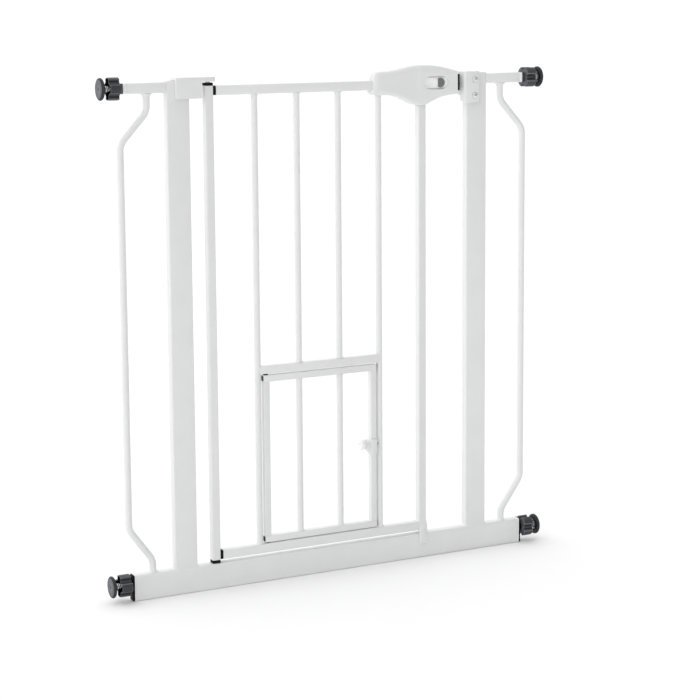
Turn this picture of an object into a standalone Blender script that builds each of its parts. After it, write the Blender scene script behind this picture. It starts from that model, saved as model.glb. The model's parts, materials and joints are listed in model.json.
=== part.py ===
"""Walk-through pressure gate with a small pet door in its leaf.

The gate stands on Z = 0. +X runs along the gate towards its latch side, +Z is up and the
leaf opens towards -Y. The origin is under the middle of the frame. Lengths are in metres.
"""

import math

import bmesh
import bpy
from mathutils import Matrix, Vector

MM = 0.001
GAP = 0.3 * MM

# Frame: bottom rail, posts, stubs and the bent side bars.
RAIL_HALF = 326.0 * MM
RAIL_H = 39.0 * MM
FRAME_D = 14.0 * MM
POST_IN = 227.5 * MM
POST_OUT = 262.5 * MM
POST_TOP = 752.0 * MM
STUB_END = 324.0 * MM
STUB_TOP = 750.0 * MM
STUB_H = 15.0 * MM
WALL = 1.2 * MM
SIDE_BAR_R = 5.0 * MM
SIDE_BAR_BORE = 4.0 * MM
SIDE_X_TOP = 290.5 * MM
SIDE_X_MID = 331.0 * MM
SIDE_X_LOW = 295.5 * MM

# Leaf: two square uprights, two rails, four bars and a cross rail.
LEAF_Y = -1.5 * MM
UPRIGHT = 12.5 * MM
HINGE_X = -197.25 * MM
LATCH_X = 149.75 * MM
LEAF_RAIL_D = 12.0 * MM
LEAF_RAIL_H = 14.0 * MM
LEAF_LOW = 44.0 * MM
LEAF_HIGH = 743.5 * MM
LEAF_RAIL_X0 = -186.5 * MM
BAR_R = 4.75 * MM
BAR_BORE = 3.75 * MM
BAR_X = (-125.0 * MM, -57.5 * MM, 10.0 * MM, 77.5 * MM)
CROSS_Z = (316.0 * MM, 328.5 * MM)
CROSS_D = 9.5 * MM
FOOT_LOW = 22.0 * MM

# Hinge: a saddle on the left post, two pins and two bushes.
PIN_R = 3.0 * MM
SADDLE_X = (-250.0 * MM, -210.0 * MM)
SADDLE_Z = (726.0 * MM, 756.0 * MM)
SADDLE_D = 24.0 * MM
FLANGE_END = -189.5 * MM
FLANGE_Z = 749.5 * MM

# Pet door: a frame of square tube with two bars, on two short pivots.
PET_TUBE = 10.0 * MM
PET_X = (-117.5 * MM, 70.5 * MM)
PET_Z = (59.5 * MM, 314.0 * MM)
PET_WALL = 1.0 * MM
PIVOT_R = 1.5 * MM
PULL_Z = 190.0 * MM
PULL_R = 8.5 * MM
PULL_PIN_R = 1.75 * MM

# Handle and latch.
SHELL_FRONT = -13.0 * MM
SHELL_BACK = 10.0 * MM
SHELL_WALL = 2.5 * MM
WINDOW_X = 171.8 * MM
WINDOW_Z = 738.2 * MM
WINDOW_HALF = 20.8 * MM
WINDOW_RISE = 10.0 * MM
BUTTON_X = 179.0 * MM
BUTTON_R = 7.2 * MM
BOLT_TIP = 226.5 * MM
BOLT_Z = (725.5 * MM, 749.5 * MM)
BOLT_Y = 4.5 * MM
BOLT_T = 5.0 * MM
CARRIAGE_X = (168.0 * MM, 196.0 * MM)

# Keeper on the right post.
KEEPER_X = (220.0 * MM, 246.0 * MM)
KEEPER_Z = (706.5 * MM, 754.0 * MM)
KEEPER_FRONT = -14.0 * MM
KEEPER_BACK = 9.0 * MM
KEEPER_ROUND = 2.6 * MM
SCREW_X = 238.5 * MM
SCREW_Z = {"upper": 741.7 * MM, "lower": 717.4 * MM}

# Pressure mounts: plug, hand nut, spindle and wall pad at each corner.
MOUNT_Z = {"lower": 24.4 * MM, "upper": STUB_TOP - STUB_H / 2}
SPINDLE_R = 4.5 * MM
SPINDLE_X = (300.0 * MM, 355.6 * MM)
NUT_X = (331.8 * MM, 348.2 * MM)
NUT_R = 16.2 * MM
NUT_VALLEY = 11.8 * MM
PAD_X = (355.9 * MM, 361.0 * MM)
PAD_R = 15.9 * MM

# The handle's outline in X and Z, anticlockwise as the viewer sees it, from its lower left.
HANDLE_OUTLINE = [
    (79.6, 721.6), (92.0, 721.2), (103.0, 719.6), (113.4, 716.2), (123.0, 711.6),
    (132.0, 707.3), (140.0, 705.0), (149.0, 704.6), (157.0, 706.3), (165.0, 710.0),
    (174.0, 713.8), (184.0, 716.8), (194.0, 718.7), (202.0, 719.8), (207.4, 720.4),
    (209.1, 721.9), (209.4, 726.0), (209.4, 737.0), (209.4, 748.0), (209.1, 753.3),
    (207.6, 755.3), (201.0, 757.3), (193.0, 759.5), (179.0, 762.7), (166.0, 764.3),
    (153.0, 765.0), (140.0, 764.8), (127.0, 763.4), (114.0, 760.6), (102.0, 758.2),
    (90.0, 756.9), (78.0, 756.3), (70.5, 754.8), (67.4, 749.6), (66.2, 742.0),
    (64.9, 734.0), (64.0, 727.5), (66.0, 723.4), (71.5, 722.0),
]

MATERIALS = {
    "powder_coat": ((0.78, 0.78, 0.78), 0.42, 0.0),
    "white_plastic": ((0.80, 0.80, 0.80), 0.35, 0.0),
    "grey_plastic": ((0.24, 0.24, 0.24), 0.45, 0.0),
    "dark_plastic": ((0.045, 0.050, 0.060), 0.50, 0.0),
    "black_plastic": ((0.012, 0.012, 0.013), 0.45, 0.0),
    "zinc": ((0.62, 0.62, 0.63), 0.30, 1.0),
}

# Where each moving body turns or slides.
BODY_ORIGIN = {
    "leaf": Vector((HINGE_X, LEAF_Y, LEAF_LOW)),
    "latch": Vector((WINDOW_X, LEAF_Y, WINDOW_Z)),
    "pet_door": Vector((PET_X[0] + PET_TUBE / 2, LEAF_Y, PET_Z[0])),
    "pet_latch": Vector((PET_X[1] - PET_TUBE / 2, LEAF_Y, PULL_Z)),
}

bodies = {}


def clear_scene():
    for old in list(bpy.data.objects):
        bpy.data.objects.remove(old, do_unlink=True)


def material(name):
    if name in bpy.data.materials:
        return bpy.data.materials[name]
    colour, roughness, metallic = MATERIALS[name]
    new = bpy.data.materials.new(name)
    new.use_nodes = True
    shader = new.node_tree.nodes["Principled BSDF"]
    shader.inputs["Base Color"].default_value = (*colour, 1.0)
    shader.inputs["Roughness"].default_value = roughness
    shader.inputs["Metallic"].default_value = metallic
    new.diffuse_color = (*colour, 1.0)
    return new


def body_empty(body):
    """The empty that carries a moving body, on that body's joint axis."""
    if body not in bodies:
        empty = bpy.data.objects.new("axis_" + body, None)
        bpy.context.collection.objects.link(empty)
        empty.location = BODY_ORIGIN[body]
        bodies[body] = empty
    return bodies[body]


def add(name, bm, surface, body=None, smooth=True):
    """Make an object from a bmesh in world coordinates and hang it on its body's empty."""
    if body:
        bmesh.ops.translate(bm, verts=bm.verts, vec=-BODY_ORIGIN[body])
    bmesh.ops.recalc_face_normals(bm, faces=bm.faces)
    mesh = bpy.data.meshes.new(name)
    bm.to_mesh(mesh)
    bm.free()
    if smooth:
        mesh.shade_smooth()
        mesh.set_sharp_from_angle(angle=math.radians(35))
    obj = bpy.data.objects.new(name, mesh)
    bpy.context.collection.objects.link(obj)
    if surface:
        mesh.materials.append(material(surface))
    if body:
        obj.parent = body_empty(body)
    return obj


def boolean(obj, bm, operation="DIFFERENCE"):
    """Cut a world-space shape out of an object, or join it on."""
    name = f"{obj.name}_tool{len(obj.modifiers)}"
    tool = add(name, bm, None, smooth=False)
    tool.hide_render = True
    tool.display_type = "WIRE"
    step = obj.modifiers.new(name, "BOOLEAN")
    step.operation = operation
    step.solver = "EXACT"
    step.object = tool
    return obj


def rounded_rect(width, height, radius, steps=3):
    """Corner points of a rectangle about the origin, anticlockwise."""
    points = []
    for turn, (sx, sy) in enumerate([(1, 1), (-1, 1), (-1, -1), (1, -1)]):
        cx = sx * (width / 2 - radius)
        cy = sy * (height / 2 - radius)
        for k in range(steps + 1):
            angle = math.pi / 2 * (turn + k / steps)
            points.append((cx + radius * math.cos(angle), cy + radius * math.sin(angle)))
    return points


def circle(radius, count):
    turn = 2 * math.pi / count
    return [(radius * math.cos(turn * k), radius * math.sin(turn * k)) for k in range(count)]


def axis_frame(axis):
    """Unit vectors u, v and w, with w along the named axis."""
    return {
        "X": (Vector((0, 1, 0)), Vector((0, 0, 1)), Vector((1, 0, 0))),
        "Y": (Vector((1, 0, 0)), Vector((0, 0, 1)), Vector((0, 1, 0))),
        "Z": (Vector((1, 0, 0)), Vector((0, 1, 0)), Vector((0, 0, 1))),
    }[axis]


def ring(bm, points, centre, axis, along):
    """A loop of vertices across an axis, at a distance along it."""
    u, v, w = axis_frame(axis)
    return [bm.verts.new(centre + u * a + v * b + w * along) for a, b in points]


def bridge(bm, first, second):
    count = len(first)
    for k in range(count):
        m = (k + 1) % count
        bm.faces.new((first[k], first[m], second[m], second[k]))


def loft(sections, bore=None):
    """A closed skin through rings; with bore rings it is open right through."""
    bm = bmesh.new()
    outer = [ring(bm, *section) for section in sections]
    for first, second in zip(outer, outer[1:]):
        bridge(bm, first, second)
    if bore:
        inner = [ring(bm, *section) for section in bore]
        for first, second in zip(inner, inner[1:]):
            bridge(bm, second, first)
        bridge(bm, inner[0], outer[0])
        bridge(bm, outer[-1], inner[-1])
    else:
        bm.faces.new(list(reversed(outer[0])))
        bm.faces.new(outer[-1])
    return bm


def prism(points, centre, axis, low, high):
    return loft([(points, centre, axis, low), (points, centre, axis, high)])


def box(low, high):
    """A plain box between two corners."""
    low = Vector(low)
    high = Vector(high)
    bm = bmesh.new()
    size = Matrix.Diagonal((*(high - low), 1.0))
    bmesh.ops.create_cube(bm, size=1.0, matrix=Matrix.Translation((low + high) / 2) @ size)
    return bm


def rod(centre, axis, low, high, radius, count=24):
    return prism(circle(radius, count), Vector(centre), axis, low, high)


def pipe(name, centre, axis, low, high, radius, bore, surface, body, count=20):
    centre = Vector(centre)
    outer = circle(radius, count)
    inner = circle(bore, count)
    bm = loft(
        [(outer, centre, axis, low), (outer, centre, axis, high)],
        [(inner, centre, axis, low), (inner, centre, axis, high)],
    )
    return add(name, bm, surface, body)


def square_tube(name, centre, axis, low, high, size, wall, corner, body=None):
    """A welded steel tube of rounded rectangular section, open at both ends."""
    centre = Vector(centre)
    width, height = size
    outer = rounded_rect(width, height, corner)
    inner = rounded_rect(width - 2 * wall, height - 2 * wall, max(corner - wall, 0.4 * MM))
    bm = loft(
        [(outer, centre, axis, low), (outer, centre, axis, high)],
        [(inner, centre, axis, low), (inner, centre, axis, high)],
    )
    return add(name, bm, "powder_coat", body)


def turned(profile, centre, axis, count=32):
    """Turn (distance along axis, radius) pairs into a solid of revolution."""
    centre = Vector(centre)
    return loft([(circle(r, count), centre, axis, along) for along, r in profile])


def bevelled(obj, width, segments=2):
    """Round the outward edges of a mesh, and leave its inward corners sharp."""
    mesh = obj.data
    weights = mesh.attributes.new("bevel_weight_edge", "FLOAT", "EDGE")
    bm = bmesh.new()
    bm.from_mesh(mesh)
    for edge in bm.edges:
        outward = len(edge.link_faces) == 2 and edge.calc_face_angle_signed() > math.radians(30)
        weights.data[edge.index].value = 1.0 if outward else 0.0
    bm.free()
    step = obj.modifiers.new("edges", "BEVEL")
    step.width = width
    step.segments = segments
    step.limit_method = "WEIGHT"
    return obj


# ------------------------------------------------------------------ frame


def bent_path(corners, radius, steps=4):
    """A polyline in the XZ plane with each inner corner turned into an arc."""
    points = [Vector(corners[0])]
    for before, corner, after in zip(corners, corners[1:], corners[2:]):
        corner = Vector(corner)
        back = (Vector(before) - corner).normalized()
        ahead = (Vector(after) - corner).normalized()
        half = back.angle(ahead) / 2
        reach = radius / math.tan(half)
        middle = corner + (back + ahead).normalized() * (radius / math.sin(half))
        start = corner + back * reach - middle
        end = corner + ahead * reach - middle
        sweep = start.angle(end)
        for k in range(steps + 1):
            share = k / steps
            blend = (start * math.sin((1 - share) * sweep) + end * math.sin(share * sweep))
            points.append(middle + blend / math.sin(sweep))
    points.append(Vector(corners[-1]))
    return points


def swept_pipe(path, radius, bore, count=12):
    """A round tube along a path in the XZ plane, open at both ends."""
    bm = bmesh.new()
    outer = []
    inner = []
    last = len(path) - 1
    for k, point in enumerate(path):
        along = (path[min(k + 1, last)] - path[max(k - 1, 0)]).normalized()
        side = Vector((0, 1, 0))
        up = along.cross(side)
        for loops, r in ((outer, radius), (inner, bore)):
            loops.append([bm.verts.new(point + side * a + up * b) for a, b in circle(r, count)])
    for first, second in zip(outer, outer[1:]):
        bridge(bm, first, second)
    for first, second in zip(inner, inner[1:]):
        bridge(bm, second, first)
    bridge(bm, inner[0], outer[0])
    bridge(bm, outer[-1], inner[-1])
    return bm


def build_frame():
    rail = square_tube(
        "bottom_rail", (0, 0, RAIL_H / 2), "X", -RAIL_HALF, RAIL_HALF,
        (FRAME_D, RAIL_H), WALL, 2.0 * MM,
    )
    pin_hole = rod((HINGE_X, LEAF_Y, 0), "Z", RAIL_H - 3 * MM, RAIL_H + 3 * MM, PIN_R + GAP)
    boolean(rail, pin_hole)
    for side, sign in (("left", -1), ("right", 1)):
        build_post(side, sign)
        stub_from = sign * (POST_OUT + GAP)
        stub_to = sign * STUB_END
        square_tube(
            f"stub_{side}", (0, 0, STUB_TOP - STUB_H / 2), "X",
            min(stub_from, stub_to), max(stub_from, stub_to),
            (FRAME_D, STUB_H), WALL, 1.8 * MM,
        )
        corners = [
            (sign * SIDE_X_TOP, 0, STUB_TOP - STUB_H - GAP),
            (sign * SIDE_X_TOP, 0, 709 * MM),
            (sign * SIDE_X_MID, 0, 664 * MM),
            (sign * SIDE_X_MID, 0, 106 * MM),
            (sign * SIDE_X_LOW, 0, 57 * MM),
            (sign * SIDE_X_LOW, 0, RAIL_H + GAP),
        ]
        path = bent_path(corners, 24 * MM)
        add(f"side_bar_{side}", swept_pipe(path, SIDE_BAR_R, SIDE_BAR_BORE), "powder_coat")


def build_post(side, sign):
    """A rectangular post, closed at its top and open onto the bottom rail."""
    centre = Vector((sign * (POST_IN + POST_OUT) / 2, 0, 0))
    width = POST_OUT - POST_IN
    outer = rounded_rect(width, FRAME_D, 2.0 * MM)
    inner = rounded_rect(width - 2 * WALL, FRAME_D - 2 * WALL, 0.8 * MM)
    low = RAIL_H + GAP
    bm = bmesh.new()
    skin = [ring(bm, outer, centre, "Z", z) for z in (low, POST_TOP)]
    hollow = [ring(bm, inner, centre, "Z", z) for z in (low, POST_TOP - WALL)]
    bridge(bm, skin[0], skin[1])
    bm.faces.new(skin[1])
    bridge(bm, hollow[1], hollow[0])
    bm.faces.new(list(reversed(hollow[1])))
    bridge(bm, hollow[0], skin[0])
    post = add(f"post_{side}", bm, "powder_coat")
    if side == "right":
        for z in SCREW_Z.values():
            hole = rod((SCREW_X, 0, z), "Y", -FRAME_D / 2 - 2 * MM, -FRAME_D / 2 + 3 * MM, 2.3 * MM, 16)
            boolean(post, hole)


# ---------------------------------------------------------- pressure mounts


def nut_outline(turned_by, count=40):
    """Four broad lobes with narrow valleys between them."""
    points = []
    for k in range(count):
        angle = 2 * math.pi * k / count
        lobe = 0.5 + 0.5 * math.cos(4 * angle)
        share = min(1.0, max(0.0, (lobe - 0.12) / 0.38))
        blend = share * share * (3 - 2 * share)
        radius = NUT_VALLEY + (NUT_R - NUT_VALLEY) * blend
        points.append((radius * math.cos(angle + turned_by), radius * math.sin(angle + turned_by)))
    return points


def build_mount(side, sign, level):
    z = MOUNT_Z[level]
    name = f"{level}_{side}"
    centre = Vector((0, 0, z))
    bore = SPINDLE_R + GAP
    if level == "upper":
        flange_from = STUB_END + GAP
        insert = (FRAME_D - 2 * WALL - 2 * GAP, STUB_H - 2 * WALL - 2 * GAP)
        plate = (FRAME_D - 0.4 * MM, STUB_H - 0.4 * MM)
        plate_z = z
    else:
        flange_from = RAIL_HALF + GAP
        insert = (FRAME_D - 2 * WALL - 2 * GAP, RAIL_H - 2 * WALL - 2 * GAP)
        plate = (FRAME_D - 0.4 * MM, RAIL_H - 0.6 * MM)
        plate_z = RAIL_H / 2 + 0.1 * MM
    plate_to = NUT_X[0] - GAP if level == "upper" else flange_from + 2.6 * MM
    body_centre = Vector((0, 0, plate_z))
    plug = prism(rounded_rect(*plate, 1.4 * MM), body_centre, "X", sign * flange_from, sign * plate_to)
    plug_name = f"end_plug_{name}"
    surface = "dark_plastic" if level == "upper" else "black_plastic"
    obj = add(plug_name, plug, surface)
    tenon = prism(
        rounded_rect(*insert, 0.8 * MM), body_centre, "X",
        sign * (flange_from - 16 * MM), sign * (flange_from + 1 * MM),
    )
    boolean(obj, tenon, "UNION")
    if level == "lower":
        boss = rod(centre, "X", sign * (plate_to - 1 * MM), sign * (NUT_X[0] - GAP), 6.6 * MM)
        boolean(obj, boss, "UNION")
    boolean(obj, rod(centre, "X", sign * 290 * MM, sign * 340 * MM, bore, 20))

    BODY_ORIGIN[f"nut_{name}"] = Vector((sign * NUT_X[0], 0, z))
    BODY_ORIGIN[f"spindle_{name}"] = Vector((sign * SPINDLE_X[1], 0, z))
    lobes = nut_outline(math.pi / 4 if side == "right" else 0.0)
    crown = [(a * 0.94, b * 0.94) for a, b in lobes]
    inner, outer = NUT_X
    edge = 0.9 * MM
    throat = circle(bore, len(lobes))
    cup = circle(10.5 * MM, len(lobes))
    nut = loft(
        [
            (crown, centre, "X", sign * inner),
            (lobes, centre, "X", sign * (inner + edge)),
            (lobes, centre, "X", sign * (outer - edge)),
            (crown, centre, "X", sign * outer),
        ],
        [
            (throat, centre, "X", sign * inner),
            (throat, centre, "X", sign * (outer - 10 * MM)),
            (cup, centre, "X", sign * (outer - 10 * MM)),
            (cup, centre, "X", sign * outer),
        ],
    )
    add(f"hand_nut_{name}", nut, "dark_plastic", f"nut_{name}")

    spindle = turned(
        [
            (sign * SPINDLE_X[0], SPINDLE_R - 0.8 * MM),
            (sign * (SPINDLE_X[0] + 0.8 * MM), SPINDLE_R),
            (sign * SPINDLE_X[1], SPINDLE_R),
        ],
        centre, "X", 20,
    )
    add(f"spindle_{name}", spindle, "zinc", f"spindle_{name}")

    near, far = PAD_X
    pad = turned(
        [
            (sign * near, PAD_R - 1.9 * MM),
            (sign * (near + 0.9 * MM), PAD_R - 0.6 * MM),
            (sign * (near + 1.8 * MM), PAD_R),
            (sign * (far - 1.8 * MM), PAD_R),
            (sign * (far - 0.9 * MM), PAD_R - 0.7 * MM),
            (sign * far, PAD_R - 2.2 * MM),
        ],
        centre, "X", 28,
    )
    add(f"wall_pad_{name}", pad, "dark_plastic", f"spindle_{name}")


# ------------------------------------------------------------------- hinge


def build_hinge():
    half = SADDLE_D / 2
    left, right = SADDLE_X
    low, high = SADDLE_Z
    profile = [
        (left, low), (right, low), (right, FLANGE_Z), (FLANGE_END, FLANGE_Z),
        (FLANGE_END, high), (left, high),
    ]
    saddle = add("hinge_saddle", prism(profile, Vector(), "Y", -half, half), "white_plastic")
    bevelled(saddle, 1.0 * MM)
    post_space = box(
        (-POST_OUT - 5 * MM, -FRAME_D / 2 - GAP, SADDLE_Z[0] - 5 * MM),
        (-POST_IN + GAP, FRAME_D / 2 + GAP, POST_TOP + GAP),
    )
    boolean(saddle, post_space)
    socket = rod((HINGE_X, LEAF_Y, 0), "Z", FLANGE_Z - 2 * MM, FLANGE_Z + 4.5 * MM, PIN_R + GAP)
    boolean(saddle, socket)

    axis = (HINGE_X, LEAF_Y, 0)
    tip = 0.8 * MM
    for level, low, high in (("upper", 726 * MM, FLANGE_Z + 4.2 * MM), ("lower", 12 * MM, 62 * MM)):
        pin = turned(
            [(low, PIN_R - tip), (low + tip, PIN_R), (high - tip, PIN_R), (high, PIN_R - tip)],
            axis, "Z", 24,
        )
        add(f"hinge_pin_{level}", pin, "zinc")

    inside = UPRIGHT - 2 * WALL - 2 * GAP
    for level, cap, plug in (
        ("upper", (LEAF_HIGH + GAP, LEAF_HIGH + 4.3 * MM), (LEAF_HIGH - 15 * MM, LEAF_HIGH + 1 * MM)),
        ("lower", (RAIL_H + 0.4 * MM, LEAF_LOW - GAP), (LEAF_LOW - 1 * MM, LEAF_LOW + 15 * MM)),
    ):
        bush = add(
            f"hinge_bush_{level}",
            prism(rounded_rect(UPRIGHT, UPRIGHT, 1.5 * MM), Vector(axis), "Z", *cap),
            "black_plastic", "leaf",
        )
        boolean(bush, prism(rounded_rect(inside, inside, 0.8 * MM), Vector(axis), "Z", *plug), "UNION")
        boolean(bush, rod(axis, "Z", plug[0] - 9 * MM, plug[1] + 9 * MM, PIN_R + GAP))


# -------------------------------------------------------------------- leaf


def build_leaf():
    square = (UPRIGHT, UPRIGHT)
    square_tube(
        "hinge_upright", (HINGE_X, LEAF_Y, 0), "Z", LEAF_LOW, LEAF_HIGH, square, WALL, 1.5 * MM, "leaf",
    )
    latch = square_tube(
        "latch_upright", (LATCH_X, LEAF_Y, 0), "Z", LEAF_LOW - 1 * MM, LEAF_HIGH,
        square, WALL, 1.5 * MM, "leaf",
    )
    front = LEAF_Y - UPRIGHT / 2
    foot = box(
        (LATCH_X - UPRIGHT / 2, front - 3.2 * MM, FOOT_LOW),
        (LATCH_X + UPRIGHT / 2, front + 0.3 * MM, LEAF_LOW + 12 * MM),
    )
    boolean(latch, foot, "UNION")

    rail = (LEAF_RAIL_D, LEAF_RAIL_H)
    rail_end = LATCH_X - UPRIGHT / 2 - GAP
    for level, z in (("upper", LEAF_HIGH - LEAF_RAIL_H / 2), ("lower", LEAF_LOW + LEAF_RAIL_H / 2)):
        tube = square_tube(
            f"leaf_rail_{level}", (0, LEAF_Y, z), "X", LEAF_RAIL_X0, rail_end, rail, WALL, 1.8 * MM, "leaf",
        )
        if level == "lower":
            boolean(tube, pivot_hole(LEAF_LOW + LEAF_RAIL_H))
        spacer = prism(
            rounded_rect(LEAF_RAIL_D - 0.8 * MM, LEAF_RAIL_H - 0.8 * MM, 1.4 * MM),
            Vector((0, LEAF_Y, z)), "X",
            HINGE_X + UPRIGHT / 2 + GAP, LEAF_RAIL_X0 - GAP,
        )
        add(f"rail_spacer_{level}", spacer, "black_plastic", "leaf")

    top = LEAF_HIGH - LEAF_RAIL_H - GAP
    bottom = LEAF_LOW + LEAF_RAIL_H + GAP
    for number, x in enumerate(BAR_X, start=1):
        low = bottom if number in (1, 4) else CROSS_Z[1] + GAP
        bar = pipe(
            f"leaf_bar_{number}", (x, LEAF_Y, 0), "Z", low, top, BAR_R, BAR_BORE, "powder_coat", "leaf",
        )
        if number == 4:
            keeper_hole = rod(
                (0, LEAF_Y, PULL_Z), "X", x - BAR_R - 2 * MM, x - 1 * MM, PULL_PIN_R + GAP, 16,
            )
            boolean(bar, keeper_hole)

    cross = square_tube(
        "cross_rail", (0, LEAF_Y, sum(CROSS_Z) / 2), "X", BAR_X[0], BAR_X[3],
        (CROSS_D, CROSS_Z[1] - CROSS_Z[0]), WALL, 1.5 * MM, "leaf",
    )
    for x in (BAR_X[0], BAR_X[3]):
        coping = rod((x, LEAF_Y, 0), "Z", CROSS_Z[0] - 5 * MM, CROSS_Z[1] + 5 * MM, BAR_R + GAP)
        boolean(cross, coping)
    boolean(cross, pivot_hole(CROSS_Z[0]))


def pivot_hole(z):
    """A hole for a pet door pivot through the tube wall at this height."""
    return rod((*BODY_ORIGIN["pet_door"].xy, 0), "Z", z - 3 * MM, z + 3 * MM, PIVOT_R + GAP, 16)


# ---------------------------------------------------------------- pet door


def build_pet_door():
    half = PET_TUBE / 2
    square = (PET_TUBE, PET_TUBE)
    nub = 0.9 * MM
    for level, z in (("upper", PET_Z[1] - half), ("lower", PET_Z[0] + half)):
        name = f"pet_rail_{level}"
        centre = Vector((0, LEAF_Y, z))
        outer = rounded_rect(*square, 1.2 * MM)
        cap = rounded_rect(PET_TUBE - 2.4 * MM, PET_TUBE - 2.0 * MM, 1.0 * MM)
        rail = add(
            name,
            loft(
                [
                    (cap, centre, "X", PET_X[0] - nub),
                    (cap, centre, "X", PET_X[0]),
                    (outer, centre, "X", PET_X[0]),
                    (outer, centre, "X", PET_X[1]),
                    (cap, centre, "X", PET_X[1]),
                    (cap, centre, "X", PET_X[1] + nub),
                ],
            ),
            "powder_coat", "pet_door",
        )
        hollow = prism(
            rounded_rect(PET_TUBE - 2 * PET_WALL, PET_TUBE - 2 * PET_WALL, 0.4 * MM),
            centre, "X", PET_X[0] + 2 * MM, PET_X[1] - 2 * MM,
        )
        boolean(rail, hollow)
        face = PET_Z[1] if level == "upper" else PET_Z[0]
        boolean(rail, pivot_hole(face))

    low = PET_Z[0] + PET_TUBE + GAP
    high = PET_Z[1] - PET_TUBE - GAP
    pull_axis = (0, LEAF_Y, PULL_Z)
    for side, x in (("left", PET_X[0] + half), ("right", PET_X[1] - half)):
        tube = square_tube(
            f"pet_upright_{side}", (x, LEAF_Y, 0), "Z", low, high, square, PET_WALL, 1.2 * MM, "pet_door",
        )
        if side == "right":
            boolean(tube, rod(pull_axis, "X", x - 8 * MM, x + 8 * MM, PULL_PIN_R + GAP, 16))
    for side, x in (("left", BAR_X[1]), ("right", BAR_X[2])):
        pipe(
            f"pet_bar_{side}", (x, LEAF_Y, 0), "Z", low, high, BAR_R, BAR_BORE, "powder_coat", "pet_door",
        )

    pivot = (*BODY_ORIGIN["pet_door"].xy, 0)
    for level, z in (("upper", CROSS_Z[0]), ("lower", LEAF_LOW + LEAF_RAIL_H)):
        add(f"pet_pivot_{level}", rod(pivot, "Z", z - 6.5 * MM, z + 6.5 * MM, PIVOT_R, 16), "zinc", "leaf")
    build_pet_latch()


def build_pet_latch():
    """A plastic boss on the pet door's right upright, with a pull knob and its pin."""
    inner = PET_X[1] - PET_TUBE - GAP
    front = LEAF_Y - PET_TUBE / 2 - GAP
    centre = Vector((0, LEAF_Y, PULL_Z))
    count = 32
    base_high = 8.4 * MM
    base_low = 17.0 * MM
    half_depth = LEAF_Y - (front - 2.4 * MM)
    nose = circle(7.6 * MM, count)
    foot = []
    for a, b in circle(1.0, count):
        reach = base_high if b > 0 else base_low
        squared = 1.0 / max(abs(a), abs(b)) ** 0.55
        foot.append((a * half_depth * min(squared, 1.25) * 0.86, b * reach * min(squared, 1.2) * 0.9))
    boss = loft(
        [
            (nose, centre, "X", 52.8 * MM),
            ([(0.45 * a + 0.55 * p, 0.45 * b + 0.55 * q) for (a, b), (p, q) in zip(nose, foot)],
             centre, "X", 56.0 * MM),
            (foot, centre, "X", inner),
        ],
    )
    housing = add("pet_latch_housing", boss, "white_plastic", "pet_door")
    wrap = loft(
        [
            (rounded_rect(2.6 * MM, 23.5 * MM, 1.0 * MM), Vector((0, front - 1.3 * MM, PULL_Z - 3.6 * MM)),
             "X", inner - 1.5 * MM),
            (rounded_rect(2.6 * MM, 23.5 * MM, 1.0 * MM), Vector((0, front - 1.3 * MM, PULL_Z - 3.6 * MM)),
             "X", PET_X[1] - 0.2 * MM),
        ],
    )
    boolean(housing, wrap, "UNION")
    boolean(housing, rod(centre, "X", 50 * MM, 66 * MM, PULL_PIN_R + GAP, 16))

    knob = turned(
        [
            (43.6 * MM, 3.2 * MM), (43.3 * MM, 5.4 * MM), (43.8 * MM, 7.2 * MM), (45.2 * MM, PULL_R),
            (48.2 * MM, PULL_R), (50.6 * MM, 7.4 * MM), (52.3 * MM, 6.6 * MM),
        ],
        centre, "X", 28,
    )
    add("pet_latch_knob", knob, "white_plastic", "pet_latch")
    pin = turned(
        [(52.6 * MM, PULL_PIN_R), (75.7 * MM, PULL_PIN_R), (76.4 * MM, PULL_PIN_R - 0.7 * MM)],
        centre, "X", 16,
    )
    add("pet_latch_pin", pin, "black_plastic", "pet_latch")


# --------------------------------------------------------- handle and latch


def smooth_outline(corners, steps=2):
    """A closed Catmull-Rom curve through the corners."""
    count = len(corners)
    points = []
    for k in range(count):
        a, b, c, d = (Vector(corners[(k + n) % count]) for n in (-1, 0, 1, 2))
        for n in range(steps):
            t = n / steps
            point = 0.5 * (
                2 * b + (c - a) * t + (2 * a - 5 * b + 4 * c - d) * t * t
                + (3 * b - a - 3 * c + d) * t ** 3
            )
            points.append(point)
    return points


def inset(points, amount):
    """Move an anticlockwise outline inwards along its corner normals."""
    count = len(points)
    moved = []
    for k, point in enumerate(points):
        along = points[(k + 1) % count] - points[k - 1]
        normal = Vector((-along.y, along.x)).normalized()
        moved.append(point + normal * amount)
    return moved


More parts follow.
